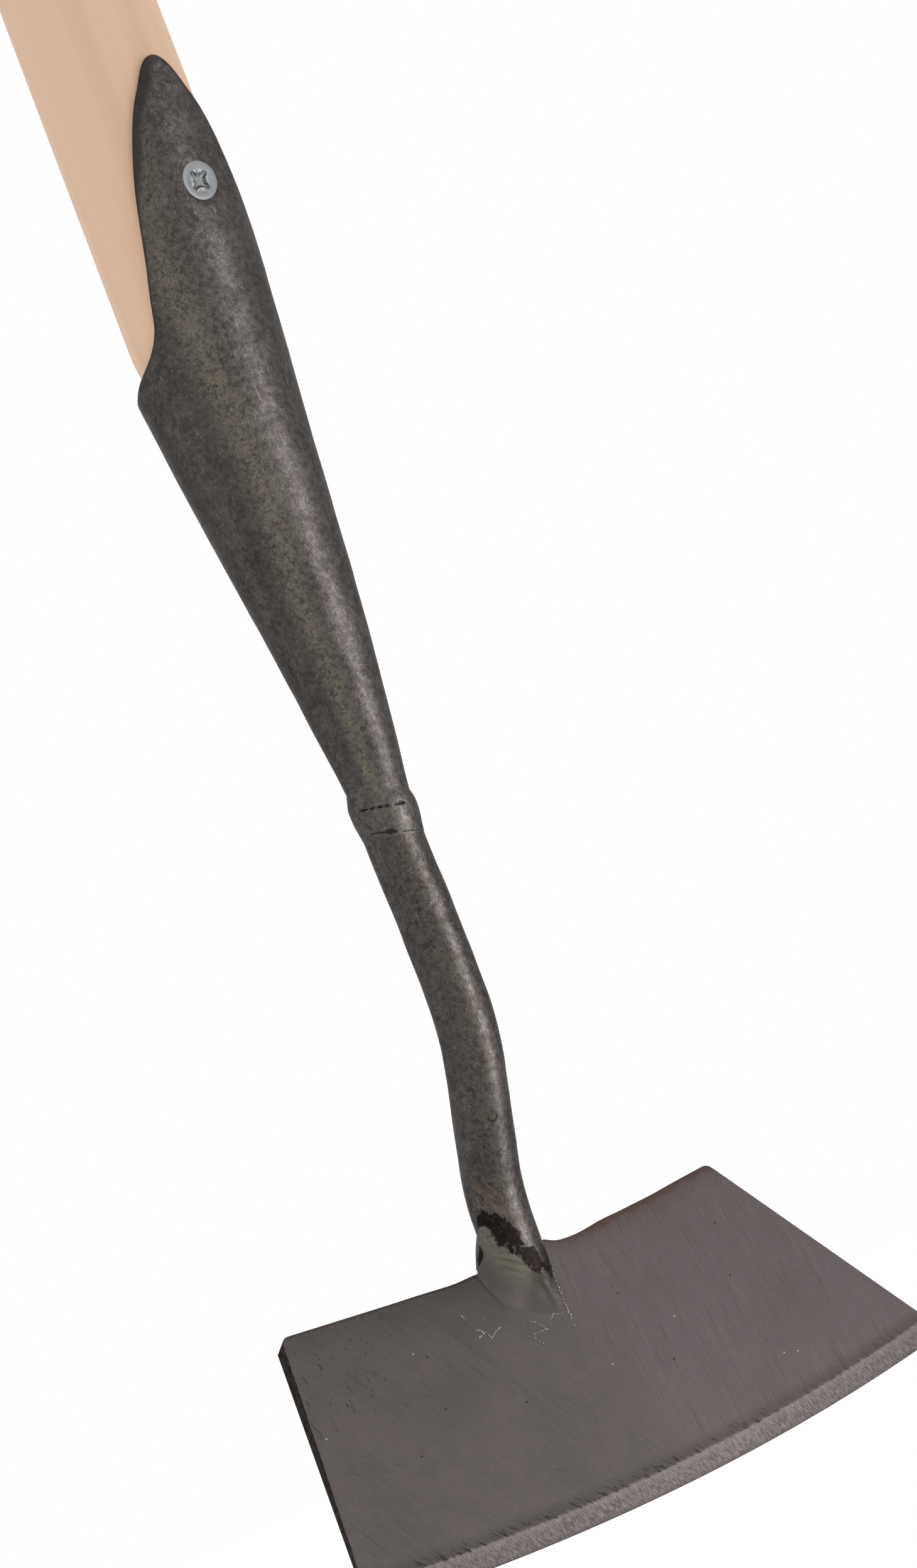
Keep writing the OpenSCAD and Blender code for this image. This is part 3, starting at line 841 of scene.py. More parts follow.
class HOE_OT_stage(bpy.types.Operator):
    """Set up the floor, the lamps, the white surroundings and the camera."""

    bl_idname = "hoe.stage"
    bl_label = "Studio"

    def execute(self, context):
        self.floor()
        self.surroundings(context.scene)
        self.strip("high_strip", *HIGH_STRIP)
        self.strip("low_strip", *LOW_STRIP)
        self.sky_light()
        self.camera(context.scene)
        context.scene.view_settings.view_transform = "Standard"
        return {"FINISHED"}

    def floor(self):
        """A pale floor below the hoe."""
        fresh()
        bpy.ops.mesh.primitive_plane_add(size=FLOOR_SIZE, location=(0, 0, CAD_BOX[0][2] - FLOOR_DROP))
        bpy.ops.object.transform_apply(location=True)
        floor = bpy.context.object
        floor.name = "floor"
        made, shader, place = material("pale_floor", 0.0, 1.0, 0.1)
        shade = place.grain(0.4, 2.0)
        feed(shader, base=shade.paint(FLOOR_LOW, FLOOR_HIGH), roughness=shade.between(0.8, 0.9))
        floor.data.materials.append(made)

    def surroundings(self, scene):
        """White all round."""
        world = bpy.data.worlds.new("white_studio")
        scene.world = world
        world.use_nodes = True
        white = world.node_tree.nodes["Background"]
        white.inputs["Color"].default_value = (1, 1, 1, 1)
        white.inputs["Strength"].default_value = 1

    def strip(self, name, top, low, target):
        """A narrow lamp between two points that draws a highlight down the steel."""
        run = Vector(top) - Vector(low)
        middle = (Vector(top) + Vector(low)) / 2
        light = bpy.data.lights.new(name, "AREA")
        light.shape = "RECTANGLE"
        light.size = STRIP_WIDTH
        light.size_y = run.length
        light.energy = STRIP_GLOW * STRIP_WIDTH * run.length
        back = middle - Vector(target)
        lamp = self.hung(name, light, middle, facing(run.cross(back), back))
        lamp.visible_diffuse = False

    def sky_light(self):
        """A broad, weak lamp from above for the shadow on the floor."""
        light = bpy.data.lights.new("sky", "SUN")
        light.energy = 0.2
        light.angle = math.radians(50)
        back = Vector((0.6, -0.5, 2.0))
        self.hung("sky", light, back, facing(Vector((0, 0, 1)).cross(back), back))

    def hung(self, name, light, place, turn):
        """A lamp at a place, turned to its target and hidden from the camera."""
        lamp = bpy.data.objects.new(name, light)
        bpy.context.scene.collection.objects.link(lamp)
        lamp.location = place
        lamp.rotation_euler = turn
        lamp.visible_camera = False
        return lamp

    def camera(self, scene):
        """The camera of the photograph, fitted to the outline of the head."""
        lens = bpy.data.cameras.new("camera")
        lens.lens = 60.53
        lens.sensor_width = 36
        lens.clip_start = 0.01
        camera = bpy.data.objects.new("camera", lens)
        scene.collection.objects.link(camera)
        camera.location = (-0.3135, -0.508, -1.3672)
        right = Vector((0.806, -0.4716, -0.3577))
        back = Vector((-0.5449, -0.8272, -0.1374))
        camera.rotation_euler = facing(right, back)
        scene.camera = camera


class HOE_OT_handle(bpy.types.Operator):
    """Turn the ash pole: its cone in the socket, its shank, its taper and its rounded top."""

    bl_idname = "hoe.handle"
    bl_label = "Handle"

    def execute(self, context):
        sizes = context.scene.hoe_sizes
        form = SocketForm(sizes)
        low = NOSE + form.end
        top = low + sizes.handle_length
        grip_top = top - sizes.top_round
        grip_r = sizes.grip_d / 2
        chamfer = 1.5 * MM
        stations = [(low, form.end_r - chamfer), (low + chamfer, form.end_r)]
        for z in np.linspace(form.end + 4 * MM, form.tip, 48):
            stations.append((NOSE + z, float(form.bore(np.float64(math.pi), z))))
        stations.append((NOSE + sizes.socket_length + sizes.shank_length, form.handle_r))
        stations.append((grip_top - sizes.grip_length, grip_r))
        for lift in np.radians(np.arange(0, 100, 10)):
            inset = sizes.top_round * (1 - math.cos(lift))
            stations.append((grip_top + sizes.top_round * math.sin(lift), grip_r - inset))
        pole = turned(stations, 112)
        places = points_of(pole)
        turn = np.arctan2(places[:, 0], -places[:, 1]) - form.turn
        z = places[:, 2] - NOSE
        reach = np.hypot(places[:, 0], places[:, 1])
        inside = z < form.tip + 1 * MM
        fitted = np.where(inside, np.minimum(reach, form.bore(turn, z)), reach)
        places[:, :2] *= (fitted / reach)[:, None]
        put_points(pole, places)
        dressed(pole, "ash_pole", "handle", [ash_wood(context.scene.hoe_finish)])
        return {"FINISHED"}


# Streaks: middle and half width in degrees from the front, and strength
# Socket's olive streaks: the first is a painted reflection, the others are oiled patches
OIL_AND_REFLECTION = ((-36, 13, 1.0), (92, 18, 0.8), (168, 15, 0.7), (-128, 16, 0.7))
SOOTED = ((-58, 12, 0.55), (60, 14, 0.3), (140, 12, 0.6), (-100, 12, 0.5))
NECK_OIL = ((-36, 26, 0.5), (120, 30, 0.4))
NECK_SOOT = ((-42, 24, 0.8), (130, 40, 0.8))


def streaked(places, streaks):
    """Share of the streaks that run down the socket and the neck."""
    turn = np.degrees(np.arctan2(places[:, 0], -places[:, 1]))
    wander = 10 * lumps(places * np.array([0, 0, 1]), 26 * MM, 5.9)
    share = np.zeros(len(places))
    for middle, half, most in streaks:
        off = (turn - middle - wander + 180) % 360 - 180
        share = np.maximum(share, most * np.exp(-(off / half) ** 2))
    return share


# Rings of points up the outside of the socket
OUTER_LEVELS = 141


class HOE_OT_socket(bpy.types.Operator):
    """Roll the socket from a flat blank: slanted mouth, rounded edge, seam at the back and countersink."""

    bl_idname = "hoe.socket"
    bl_label = "Socket"

    def execute(self, context):
        sizes = context.scene.hoe_sizes
        form = SocketForm(sizes)
        turns = self.columns(form)
        levels = self.levels(form, turns)
        piece, column, row = blank(len(turns) - 1, len(levels) - 1)
        places = np.array(levels)[row, column]
        ripple = 0.11 * lumps(places, 11 * MM, 3.1) + 0.05 * lumps(places, 4 * MM, 7.7)
        outside = (row > 1) & (row < OUTER_LEVELS + 2)
        fade = outside * eased(0, 6 * MM, places[:, 2] - NOSE)
        places[:, :2] += form.way(turns)[column] * (ripple * fade * MM)[:, None]
        put_points(piece, places)
        sealed(piece)
        cut_away(piece, self.countersink(sizes))
        self.weather(piece, form)
        coat = socket_steel(context.scene.hoe_finish)
        dressed(piece, "socket_shell", "socket", [coat], 50)
        return {"FINISHED"}

    def levels(self, form, turns):
        """Rings of points: from the closed nose up the outside, over the lip and down the inside."""
        mouth = form.mouth(turns)
        lie = np.sqrt(1 + (np.gradient(mouth, turns) / form.rim_r) ** 2)
        wall = form.outer(mouth) - form.bore(turns, mouth)
        nose = np.zeros((len(turns), 3)) + np.array([0, 0, NOSE])
        levels = [nose]
        for share in 1 - (1 - np.linspace(0, 1, OUTER_LEVELS)) ** 1.5:
            z = mouth * share
            gap = (mouth - z) / lie
            soft = np.clip(1 - gap / form.edge_width(mouth), 0, 1) ** 2 * 0.45 * wall
            levels.append(form.outside(turns, z, soft + self.seam(form, turns, z)))
        lip_out = levels[-1]
        inner_mouth = mouth - 0.1 * MM
        lip_in = form.inside(turns, inner_mouth)
        for share in (0.2, 0.4, 0.6, 0.8):
            lip = lip_out + (lip_in - lip_out) * share
            lip[:, 2] += 0.25 * MM * math.sin(math.pi * share)
            levels.append(lip)
        for share in np.linspace(0, 1, 25):
            levels.append(form.inside(turns, inner_mouth * (1 - share) + form.end * share))
        return levels + [nose + np.array([0, 0, form.end])]

    def columns(self, form):
        """Angles of the columns, closer together beside the seam."""
        seam = np.array([0, 0.2, 0.4, 0.6, 0.9, 1.3]) * MM / form.rim_r
        middle = np.linspace(seam[-1] - math.pi, math.pi - seam[-1], 181)
        return np.concatenate([seam[:-1] - math.pi, middle, math.pi - seam[-2::-1]])

    def seam(self, form, turns, z):
        """Depth of the rolled seam at the back."""
        off = (math.pi - np.abs(turns)) * form.outer(z)
        depth = np.minimum(1.6 * MM, form.outer(z) - form.bore(turns, z))
        groove = 1 - eased(0.25 * MM, 0.55 * MM, off)
        rolled = np.clip(1 - off / (1.5 * MM), 0, 1) ** 2 * 0.3 * MM
        return (groove * depth * 0.95 + rolled) * eased(20 * MM, 50 * MM, z)

    def countersink(self, sizes):
        """A cone in the shape of the screw's seat."""
        fresh()
        slack = 0.1 * MM
        proud = 2 * MM
        tip_r = 0.6 * MM
        mouth_r = sizes.head_d / 2 + slack + proud
        depth = mouth_r - tip_r
        bpy.ops.mesh.primitive_cone_add(vertices=64, radius1=mouth_r, radius2=tip_r, depth=depth)
        bpy.ops.object.transform_apply(location=True)
        cutter = bpy.context.object
        cutter.data.transform(Matrix.Translation((0, 0, depth / 2 - proud)))
        cutter.data.transform(screw_frame(sizes))
        return cutter

    def weather(self, piece, form):
        """Keeps the smooth band of painted shade along the mouth, the olive streaks, partly yellowed oil and
        partly a painted reflection, and the sooty streaks.
        """
        places = points_of(piece)
        z = places[:, 2] - NOSE
        across = places[:, :2] - form.middle(z)
        turns = np.arctan2(across[:, 0], -across[:, 1]) - form.turn
        mouth = form.mouth(turns)
        slope = (form.mouth(turns + 0.01) - form.mouth(turns - 0.01)) / (0.02 * form.rim_r)
        gap = (mouth - z) / np.sqrt(1 + slope ** 2)
        wide = form.edge_width(mouth)
        mark(piece, "band", 1 - eased(0.5 * wide, 1.2 * wide, gap))
        tongue = eased(128 * MM, 146 * MM, z)
        mark(piece, "olive", streaked(places, OIL_AND_REFLECTION) * (1 - 0.4 * tongue))
        mark(piece, "soot", streaked(places, SOOTED) * (1 - tongue))


# The recess and its burr lie within this radius of the screw's axis
RECESS_R = 2.97 * MM


class HOE_OT_screw(bpy.types.Operator):
    """Make the countersunk wood screw, with a square recess that has an ear at each corner."""

    bl_idname = "hoe.screw"
    bl_label = "Screw"

    def execute(self, context):
        sizes = context.scene.hoe_sizes
        wide = sizes.head_d / 2
        shank = 2.3 * MM
        rim = 0.35 * MM
        stations = [(0.07 * MM, 3.0 * MM), (0, 3.3 * MM), (0, wide - 0.5 * MM), (0.08 * MM, wide - 0.15 * MM)]
        stations += [(0.22 * MM, wide), (rim, wide), (rim + wide - shank, shank)]
        stations += [(25 * MM, shank), (29.5 * MM, 0.4 * MM)]
        piece = turned(stations, 72)
        cut_away(piece, self.recess())
        places = points_of(piece)
        depth = places[:, 2] / MM
        inside = np.hypot(places[:, 0], places[:, 1]) < RECESS_R
        # Strength of the painted shade in the recess: most on its walls, less on its floor
        mark(piece, "recess", inside * np.interp(depth, [0.1, 0.4, 0.7], [0.2, 0.75, 0.4]))
        mark(piece, "burr", inside * (depth < 0.1))
        piece.data.transform(screw_frame(sizes))
        dressed(piece, "wood_screw", "screw", [zinc_plate(sizes, context.scene.hoe_finish)], 30)
        return {"FINISHED"}

    def recess(self):
        """A cutter in the shape of a square hole with an ear at each corner, narrower at its floor."""
        ear, ear_wide, flat, blunt = 2.88 * MM, 0.66 * MM, 1.75 * MM, 9
        stations = [(-0.5 * MM, 1.02), (0.08 * MM, 1.01), (0.2 * MM, 0.95), (0.4 * MM, 0.82), (0.7 * MM, 0.6)]
        cutter = turned(stations, 160)
        places = points_of(cutter)
        turn = np.arctan2(places[:, 1], places[:, 0])
        off = np.abs((turn + math.pi) % (math.pi / 2) - math.pi / 4)
        side = np.maximum(np.sin(off), 1e-6)
        arm = (ear ** -blunt + (ear_wide / side) ** -blunt) ** (-1 / blunt)
        square = flat / np.cos(math.pi / 4 - off)
        places[:, :2] *= np.maximum(arm, square)[:, None]
        put_points(cutter, places)
        return cutter


# How far off the socket's axis the neck's top was welded on, in metres
WELD_SHIFT = np.array([-0.43, 0.25]) * MM

# Upper border of the blade's weld: degrees about the neck from its front, and millimetres up from its foot
WELD_BORDER = (
    (-180, 6), (-140, 7), (-110, 8), (-79, 10), (-61, 9.2), (-54, 6.8), (-45, 5.5),
    (-37, 3.9), (-27, 2.9), (-22, 1.2), (-15, -2.1), (-5, -2.8), (7, -3), (20, -4.1),
    (37, -5.3), (47, -5.5), (60, -3.2), (80, 0.3), (100, 3.3), (130, 6), (180, 6),
)

# Degrees about the neck, and the height of the burnt band in millimetres
BURNT_BAND = ((-95, 1.5), (-71, 4.5), (-44, 8), (-12, 11), (0, 8), (11, 6.5), (19, 4.2), (38, 1))


def neck_polar(sizes, places):
    """Angle about the neck's lower run from its front, in degrees, and millimetres up from its foot."""
    heading = sizes.first_bend - sizes.second_bend
    lift = np.array([0, -math.sin(heading), math.cos(heading)])
    front = np.array([0, -math.cos(heading), -math.sin(heading)])
    off = places - np.array(neck_foot(sizes))
    return np.degrees(np.arctan2(off[:, 0], off @ front)), off @ lift / MM


def weld_border(turn):
    """Height of the ground weld's upper border on the neck, in millimetres up from the foot."""
    return np.interp(turn, *np.array(WELD_BORDER).T)


def burnt_share(turn, rise):
    """How burnt the steel is: most just above the weld's border, on the front of the neck."""
    over = rise - weld_border(turn)
    thick = np.interp(turn, *np.array(BURNT_BAND).T)
    front = eased(-95, -75, turn) * (1 - eased(34, 44, turn))
    return eased(-0.6, 0.6, over) * (1 - eased(0.5 * thick, 1.05 * thick, over)) * front


class HOE_OT_neck(bpy.types.Operator):
    """Bend the round neck: extruded runs and spun bends, cut off just above the sole."""

    bl_idname = "hoe.neck"
    bl_label = "Neck"

    def execute(self, context):
        sizes = context.scene.hoe_sizes
        fresh()
        bpy.ops.mesh.primitive_circle_add(vertices=80, radius=sizes.neck_d / 2, location=(0, 0, NOSE))
        bpy.ops.object.transform_apply(location=True)
        piece = bpy.context.object
        bpy.ops.object.mode_set(mode="EDIT")
        bpy.ops.mesh.select_all(action="SELECT")
        spot = self.run(Vector((0, 0, NOSE)), 0, sizes.neck_straight, 30)
        spot = self.bend(spot, 0, sizes.first_bend, sizes.first_bend_r, 16)
        spot = self.run(spot, sizes.first_bend, sizes.middle_straight, 16)
        last = sizes.first_bend - sizes.second_bend
        spot = self.bend(spot, sizes.first_bend, -sizes.second_bend, sizes.second_bend_r, 12)
        spare = 16 * MM
        self.run(spot, last, sizes.end_straight + spare, 20)
        bpy.ops.mesh.edge_face_add()
        self.cut_foot(sizes)
        self.cap(piece)
        bpy.ops.mesh.select_all(action="SELECT")
        bpy.ops.mesh.normals_make_consistent(inside=False)
        bpy.ops.object.mode_set(mode="OBJECT")
        self.weather(piece, sizes)
        dressed(piece, "bent_neck", "neck", [neck_steel(context.scene.hoe_finish)], 50)
        return {"FINISHED"}

    def run(self, spot, heading, reach, steps):
        """A straight run on from a spot, and the spot where it ends."""
        step = Vector((0, math.sin(heading), -math.cos(heading))) * (reach / steps)
        for count in range(steps):
            bpy.ops.mesh.extrude_region_move(TRANSFORM_OT_translate={"value": step})
        return spot + step * steps

    def bend(self, spot, heading, turn, radius, steps):
        """A bend about the X axis, towards the back where the turn is positive."""
        side = math.copysign(1, turn)
        centre = spot + Vector((0, math.cos(heading), math.sin(heading))) * (radius * side)
        bpy.ops.mesh.spin(steps=steps, angle=-turn, center=centre, axis=(1, 0, 0))
        arm = Matrix.Rotation(turn, 3, "X") @ (spot - centre)
        return centre + arm

    def cut_foot(self, sizes):
        """Cuts the bar off along the blade, just above its sole."""
        foot, ways = blade_frame(sizes)
        up = ways[2]
        above_sole = 0.25 * MM
        bpy.ops.mesh.select_all(action="SELECT")
        sole = foot - up * (sizes.blade_t - above_sole)
        bpy.ops.mesh.bisect(plane_co=sole, plane_no=-up, use_fill=True, clear_outer=True)

    def cap(self, piece):
        """Closes the top of the bar."""
        bpy.ops.mesh.select_all(action="DESELECT")
        bpy.ops.object.mode_set(mode="OBJECT")
        for vertex in piece.data.vertices:
            vertex.select = abs(vertex.co.z - NOSE) < MERGE
        bpy.ops.object.mode_set(mode="EDIT")
        bpy.ops.mesh.edge_face_add()

    def weather(self, piece, sizes):
        """Hammered unevenness, streaks, and where the steel is burnt or brushed above the weld."""
        places = points_of(piece)
        normals = np.empty(len(places) * 3)
        piece.data.vertices.foreach_get("normal", normals)
        normals = normals.reshape(-1, 3)
        ripple = 0.10 * lumps(places, 9 * MM, 1.9) + 0.05 * lumps(places, 3.5 * MM, 5.3)
        below = (NOSE - places[:, 2]) / MM
        places += normals * (ripple * eased(6, 14, below) * MM)[:, None]
        places[:, :2] += WELD_SHIFT * (1 - eased(6, 26, below))[:, None]
        put_points(piece, places)
        turn, rise = neck_polar(sizes, places)
        mark(piece, "burnt", burnt_share(turn, rise))
        patch = eased(9, 12, rise) * (1 - eased(17, 22, rise)) * (1 - eased(16, 34, np.abs(turn + 46)))
        mark(piece, "brushed", patch)
        foot = neck_foot(sizes)
        around = places.copy()
        around[:, 1] -= np.interp(places[:, 2], [foot[2], NOSE - sizes.neck_straight], [foot[1], 0])
        mark(piece, "olive", streaked(around, NECK_OIL))
        mark(piece, "soot", streaked(around, NECK_SOOT))


class HOE_OT_collar(bpy.types.Operator):
    """Lay the weld ring between socket and neck, with broken cracks along both of its toes."""

    bl_idname = "hoe.collar"
    bl_label = "Collar weld"

    def execute(self, context):
        sizes = context.scene.hoe_sizes
        form = SocketForm(sizes)
        half = sizes.collar_length / 2
        neck_r = sizes.neck_d / 2
        stations = []
        for step in np.linspace(-1, 1, 61):
            stations.append((NOSE + step * half, neck_r + sizes.collar_stand))
        piece = turned(stations, 176)
        places = points_of(piece)
        turn = np.degrees(np.arctan2(places[:, 0], -places[:, 1]))
        level = (places[:, 2] - NOSE) / half
        heavy_side = 60
        side = np.cos(np.radians(turn - heavy_side))
        crest = 2.6 - 0.9 * side
        z = crest + level * np.where(level > 0, 5.6, crest + 6.2 + 1.3 * side)
        crack = self.cracks(neck_r, places, turn, side, z)
        swell = np.cos(math.pi * level / 2) ** 2
        under = np.maximum(neck_r, form.outer(np.maximum(z, 0) * MM)) / MM
        ripple = 0.14 * lumps(places, 4.5 * MM, 2.6) + 0.08 * lumps(places, 2 * MM, 6.1)
        stand = (sizes.collar_stand / MM + ripple) * swell
        reach = under + 0.12 * eased(0, 0.2, swell) - 0.06 + stand - np.minimum(0.45, stand) * crack
        places[:, :2] *= (reach * MM / np.hypot(places[:, 0], places[:, 1]))[:, None]
        places[:, 2] = NOSE + z * MM
        places[:, :2] += WELD_SHIFT * eased(9, 5, z)[:, None]
        put_points(piece, places)
        olive = eased(0, 7, z) * streaked(places, OIL_AND_REFLECTION) + eased(5, -2, z) * streaked(places, NECK_OIL)
        mark(piece, "crack", crack)
        mark(piece, "olive", olive)
        mark(piece, "soot", 0.5 * streaked(places, NECK_SOOT))
        coat = weld_steel(context.scene.hoe_finish)
        dressed(piece, "collar_bead", "collar_weld", [coat], 60)
        return {"FINISHED"}

    def cracks(self, neck_r, places, turn, side, z):
        """How far each point lies in the broken cracks, which show on the front alone."""
        angle_round = np.radians(turn)
        around = np.stack([np.sin(angle_round), np.cos(angle_round), 0 * turn], 1) * neck_r
        waver = 0.4 * lumps(around, 4 * MM, 4.2) + 0.22 * lumps(places, 0.9 * MM, 3.3)
        front = eased(-80, -66, turn)
        blot = 0.6 * np.exp(-((turn + 31) / 9) ** 2)
        upper = (2.2, -1.2, 0.32, -0.3, front * (1 - eased(10, 20, turn)))
        lower = (-3.9, -1.9, 0.17 + blot, -0.35, front * (1 - eased(35, 50, turn)))
        crack = np.zeros(len(z))
        for level, lean, wide, gap, share in (upper, lower):
            off = np.abs(z - level - waver - side * lean)
            wide = wide * (1.1 + 1.2 * lumps(around, 2.4 * MM, level))
            broken = eased(gap - 0.1, gap + 0.15, lumps(around, 1.4 * MM, 9.4 + level))
            crack = np.maximum(crack, (1 - eased(0.3 * wide, wide + 0.05, off)) * broken * share)
        return crack


# Waves of the blade's back edge: millimetres across, half width and height
BACK_WAVES = (
    (8.6, 2.4, -2.3), (11, 4.5, -0.8), (-11, 4.5, -0.8),
    (25.5, 4.5, -0.27), (42, 6, 0.18), (-26, 6, -0.1),
)

# Extra half width of the plate in millimetres, on the left and on the right
BACK_SPARE = (0.6, 0.7)
FRONT_SPARE = (0.05, 0.28)


class HOE_OT_blade(bpy.types.Operator):
    """Cut the blade from a sheet: dipped back edge, flared sides, thinned face and ground bevel."""

    bl_idname = "hoe.blade"
    bl_label = "Blade"

    def execute(self, context):
        sizes = context.scene.hoe_sizes
        piece = blank(260, 96)[0]
        bpy.ops.object.mode_set(mode="EDIT")
        bpy.ops.mesh.select_all(action="SELECT")
        bpy.ops.mesh.extrude_region_move(TRANSFORM_OT_translate={"value": (0, 0, 1)})
        bpy.ops.object.mode_set(mode="OBJECT")
        flat = points_of(piece)
        share = flat[:, 0] * 2
        lower = flat[:, 2] < 0.5
        x, s, gap, back, line = self.plan(sizes, share, flat[:, 1] + 0.5)
        h = np.where(lower, -sizes.blade_t, self.face(sizes, s, gap))
        left = share < -0.9999
        chipped = 0.16 * MM * lumps(np.stack([s, gap, h], 1), 1.6 * MM, 2.2)
        leaning = 0.95 * MM * (1 - line)
        x += np.where(left & ~lower, chipped, 0) - np.where(left & lower, leaning, 0)
        foot, ways = blade_frame(sizes)
        put_points(piece, foot + np.stack([x, s, h], 1) @ ways)
        mark(piece, "to_edge", gap / MM)
        mark(piece, "to_back", back / MM)
        self.soften(piece)
        sealed(piece)
        finish = context.scene.hoe_finish
        coats = [blade_steel(sizes, finish), blade_side(finish)]
        dressed(piece, "blade_plate", "blade", coats, 25)
        self.paint_sides(piece, Vector(ways[2]))
        return {"FINISHED"}

    def plan(self, sizes, share, depth):
        """Place of each point of the sheet, its distances from both edges and its share of the way."""
        half = sizes.blade_w / 2
        back_half = sizes.back_w / 2
        edge_r = (half ** 2 + sizes.edge_bow ** 2) / (2 * sizes.edge_bow)
        centre = sizes.blade_depth - edge_r
        x_back = share * (back_half + np.where(share < 0, *BACK_SPARE) * MM)
        x_front = share * (half + np.where(share < 0, *FRONT_SPARE) * MM)
        off = np.abs(x_back)
        s_back = sizes.back_dip - sizes.back_set - sizes.back_dip * off / back_half
        for middle, wide, high in BACK_WAVES:
            s_back += high * MM * np.exp(-((x_back / MM - middle) / wide) ** 2)
        corner_x = back_half + sum(BACK_SPARE) / 2 * MM
        corner = np.clip(off - corner_x + sizes.corner_r, 0, sizes.corner_r)
        s_back += sizes.corner_r - np.sqrt(sizes.corner_r ** 2 - corner ** 2)
        s_front = centre + np.sqrt(edge_r ** 2 - x_front ** 2)
        bevel_share = 0.72
        wider_ends = 0.46 * MM
        start = 1 - (sizes.bevel_w + wider_ends * share ** 2) / (s_front - s_back)
        line = np.where(depth < bevel_share, depth / bevel_share * start,
                        start + (depth - bevel_share) / (1 - bevel_share) * (1 - start))
        x = x_back + (x_front - x_back) * line
        s = s_back + (s_front - s_back) * line
        gap = edge_r - np.hypot(x, s - centre)
        return x, s, gap, s - s_back, line

    def face(self, sizes, s, gap):
        """Height of the face: it falls towards the front and then down the bevel."""
        bevel_top = face_height(sizes, sizes.blade_depth - sizes.bevel_w)
        bevel_low = sizes.edge_t - sizes.blade_t
        bevel = bevel_low + (bevel_top - bevel_low) / sizes.bevel_w * gap
        return np.minimum(face_height(sizes, s), bevel)

    def soften(self, piece):
        """Breaks the sharp corners of the plate."""
        soft = piece.modifiers.new("soft", "BEVEL")
        soft.limit_method = "ANGLE"
        soft.angle_limit = math.radians(50)
        soft.width = 0.14 * MM
        soft.segments = 2
        bpy.ops.object.modifier_apply(modifier=soft.name)

    def paint_sides(self, piece, up):
        """Gives the cut sides their own finish."""
        steepest = 0.62
        for face in piece.data.polygons:
            face.material_index = int(abs(face.normal.dot(up)) < steepest)


# Toe of the blade's weld: degrees about the neck, millimetres across and along, and bite
WELD_TOE = (
    (-180, 0, -4, 1), (-150, -3, -5, 1), (-125, -7.2, -5.0, 1), (-105, -9.3, -2.4, 1),
    (-85, -11.0, -0.2, 1.2), (-70, -11.3, 2.6, 1.4), (-54, -11.0, 7.2, 1.7), (-39, -9.2, 12.2, 1.9),
    (-22, -5.0, 16.6, 1.9), (-10, -0.8, 18.6, 1.9), (10, 2.9, 15.4, 1.9), (36, 5.3, 8.0, 1.9),
    (60, 7.0, 4.4, 2.1), (80, 8.2, 1.4, 2.3), (100, 9.1, -1.6, 2.3), (120, 8, -4.5, 1.6),
    (150, 3, -5, 1), (180, 0, -4, 1),
)

# Steps up the weld's skin, from its toe to its border
SKIN_STEPS = 42


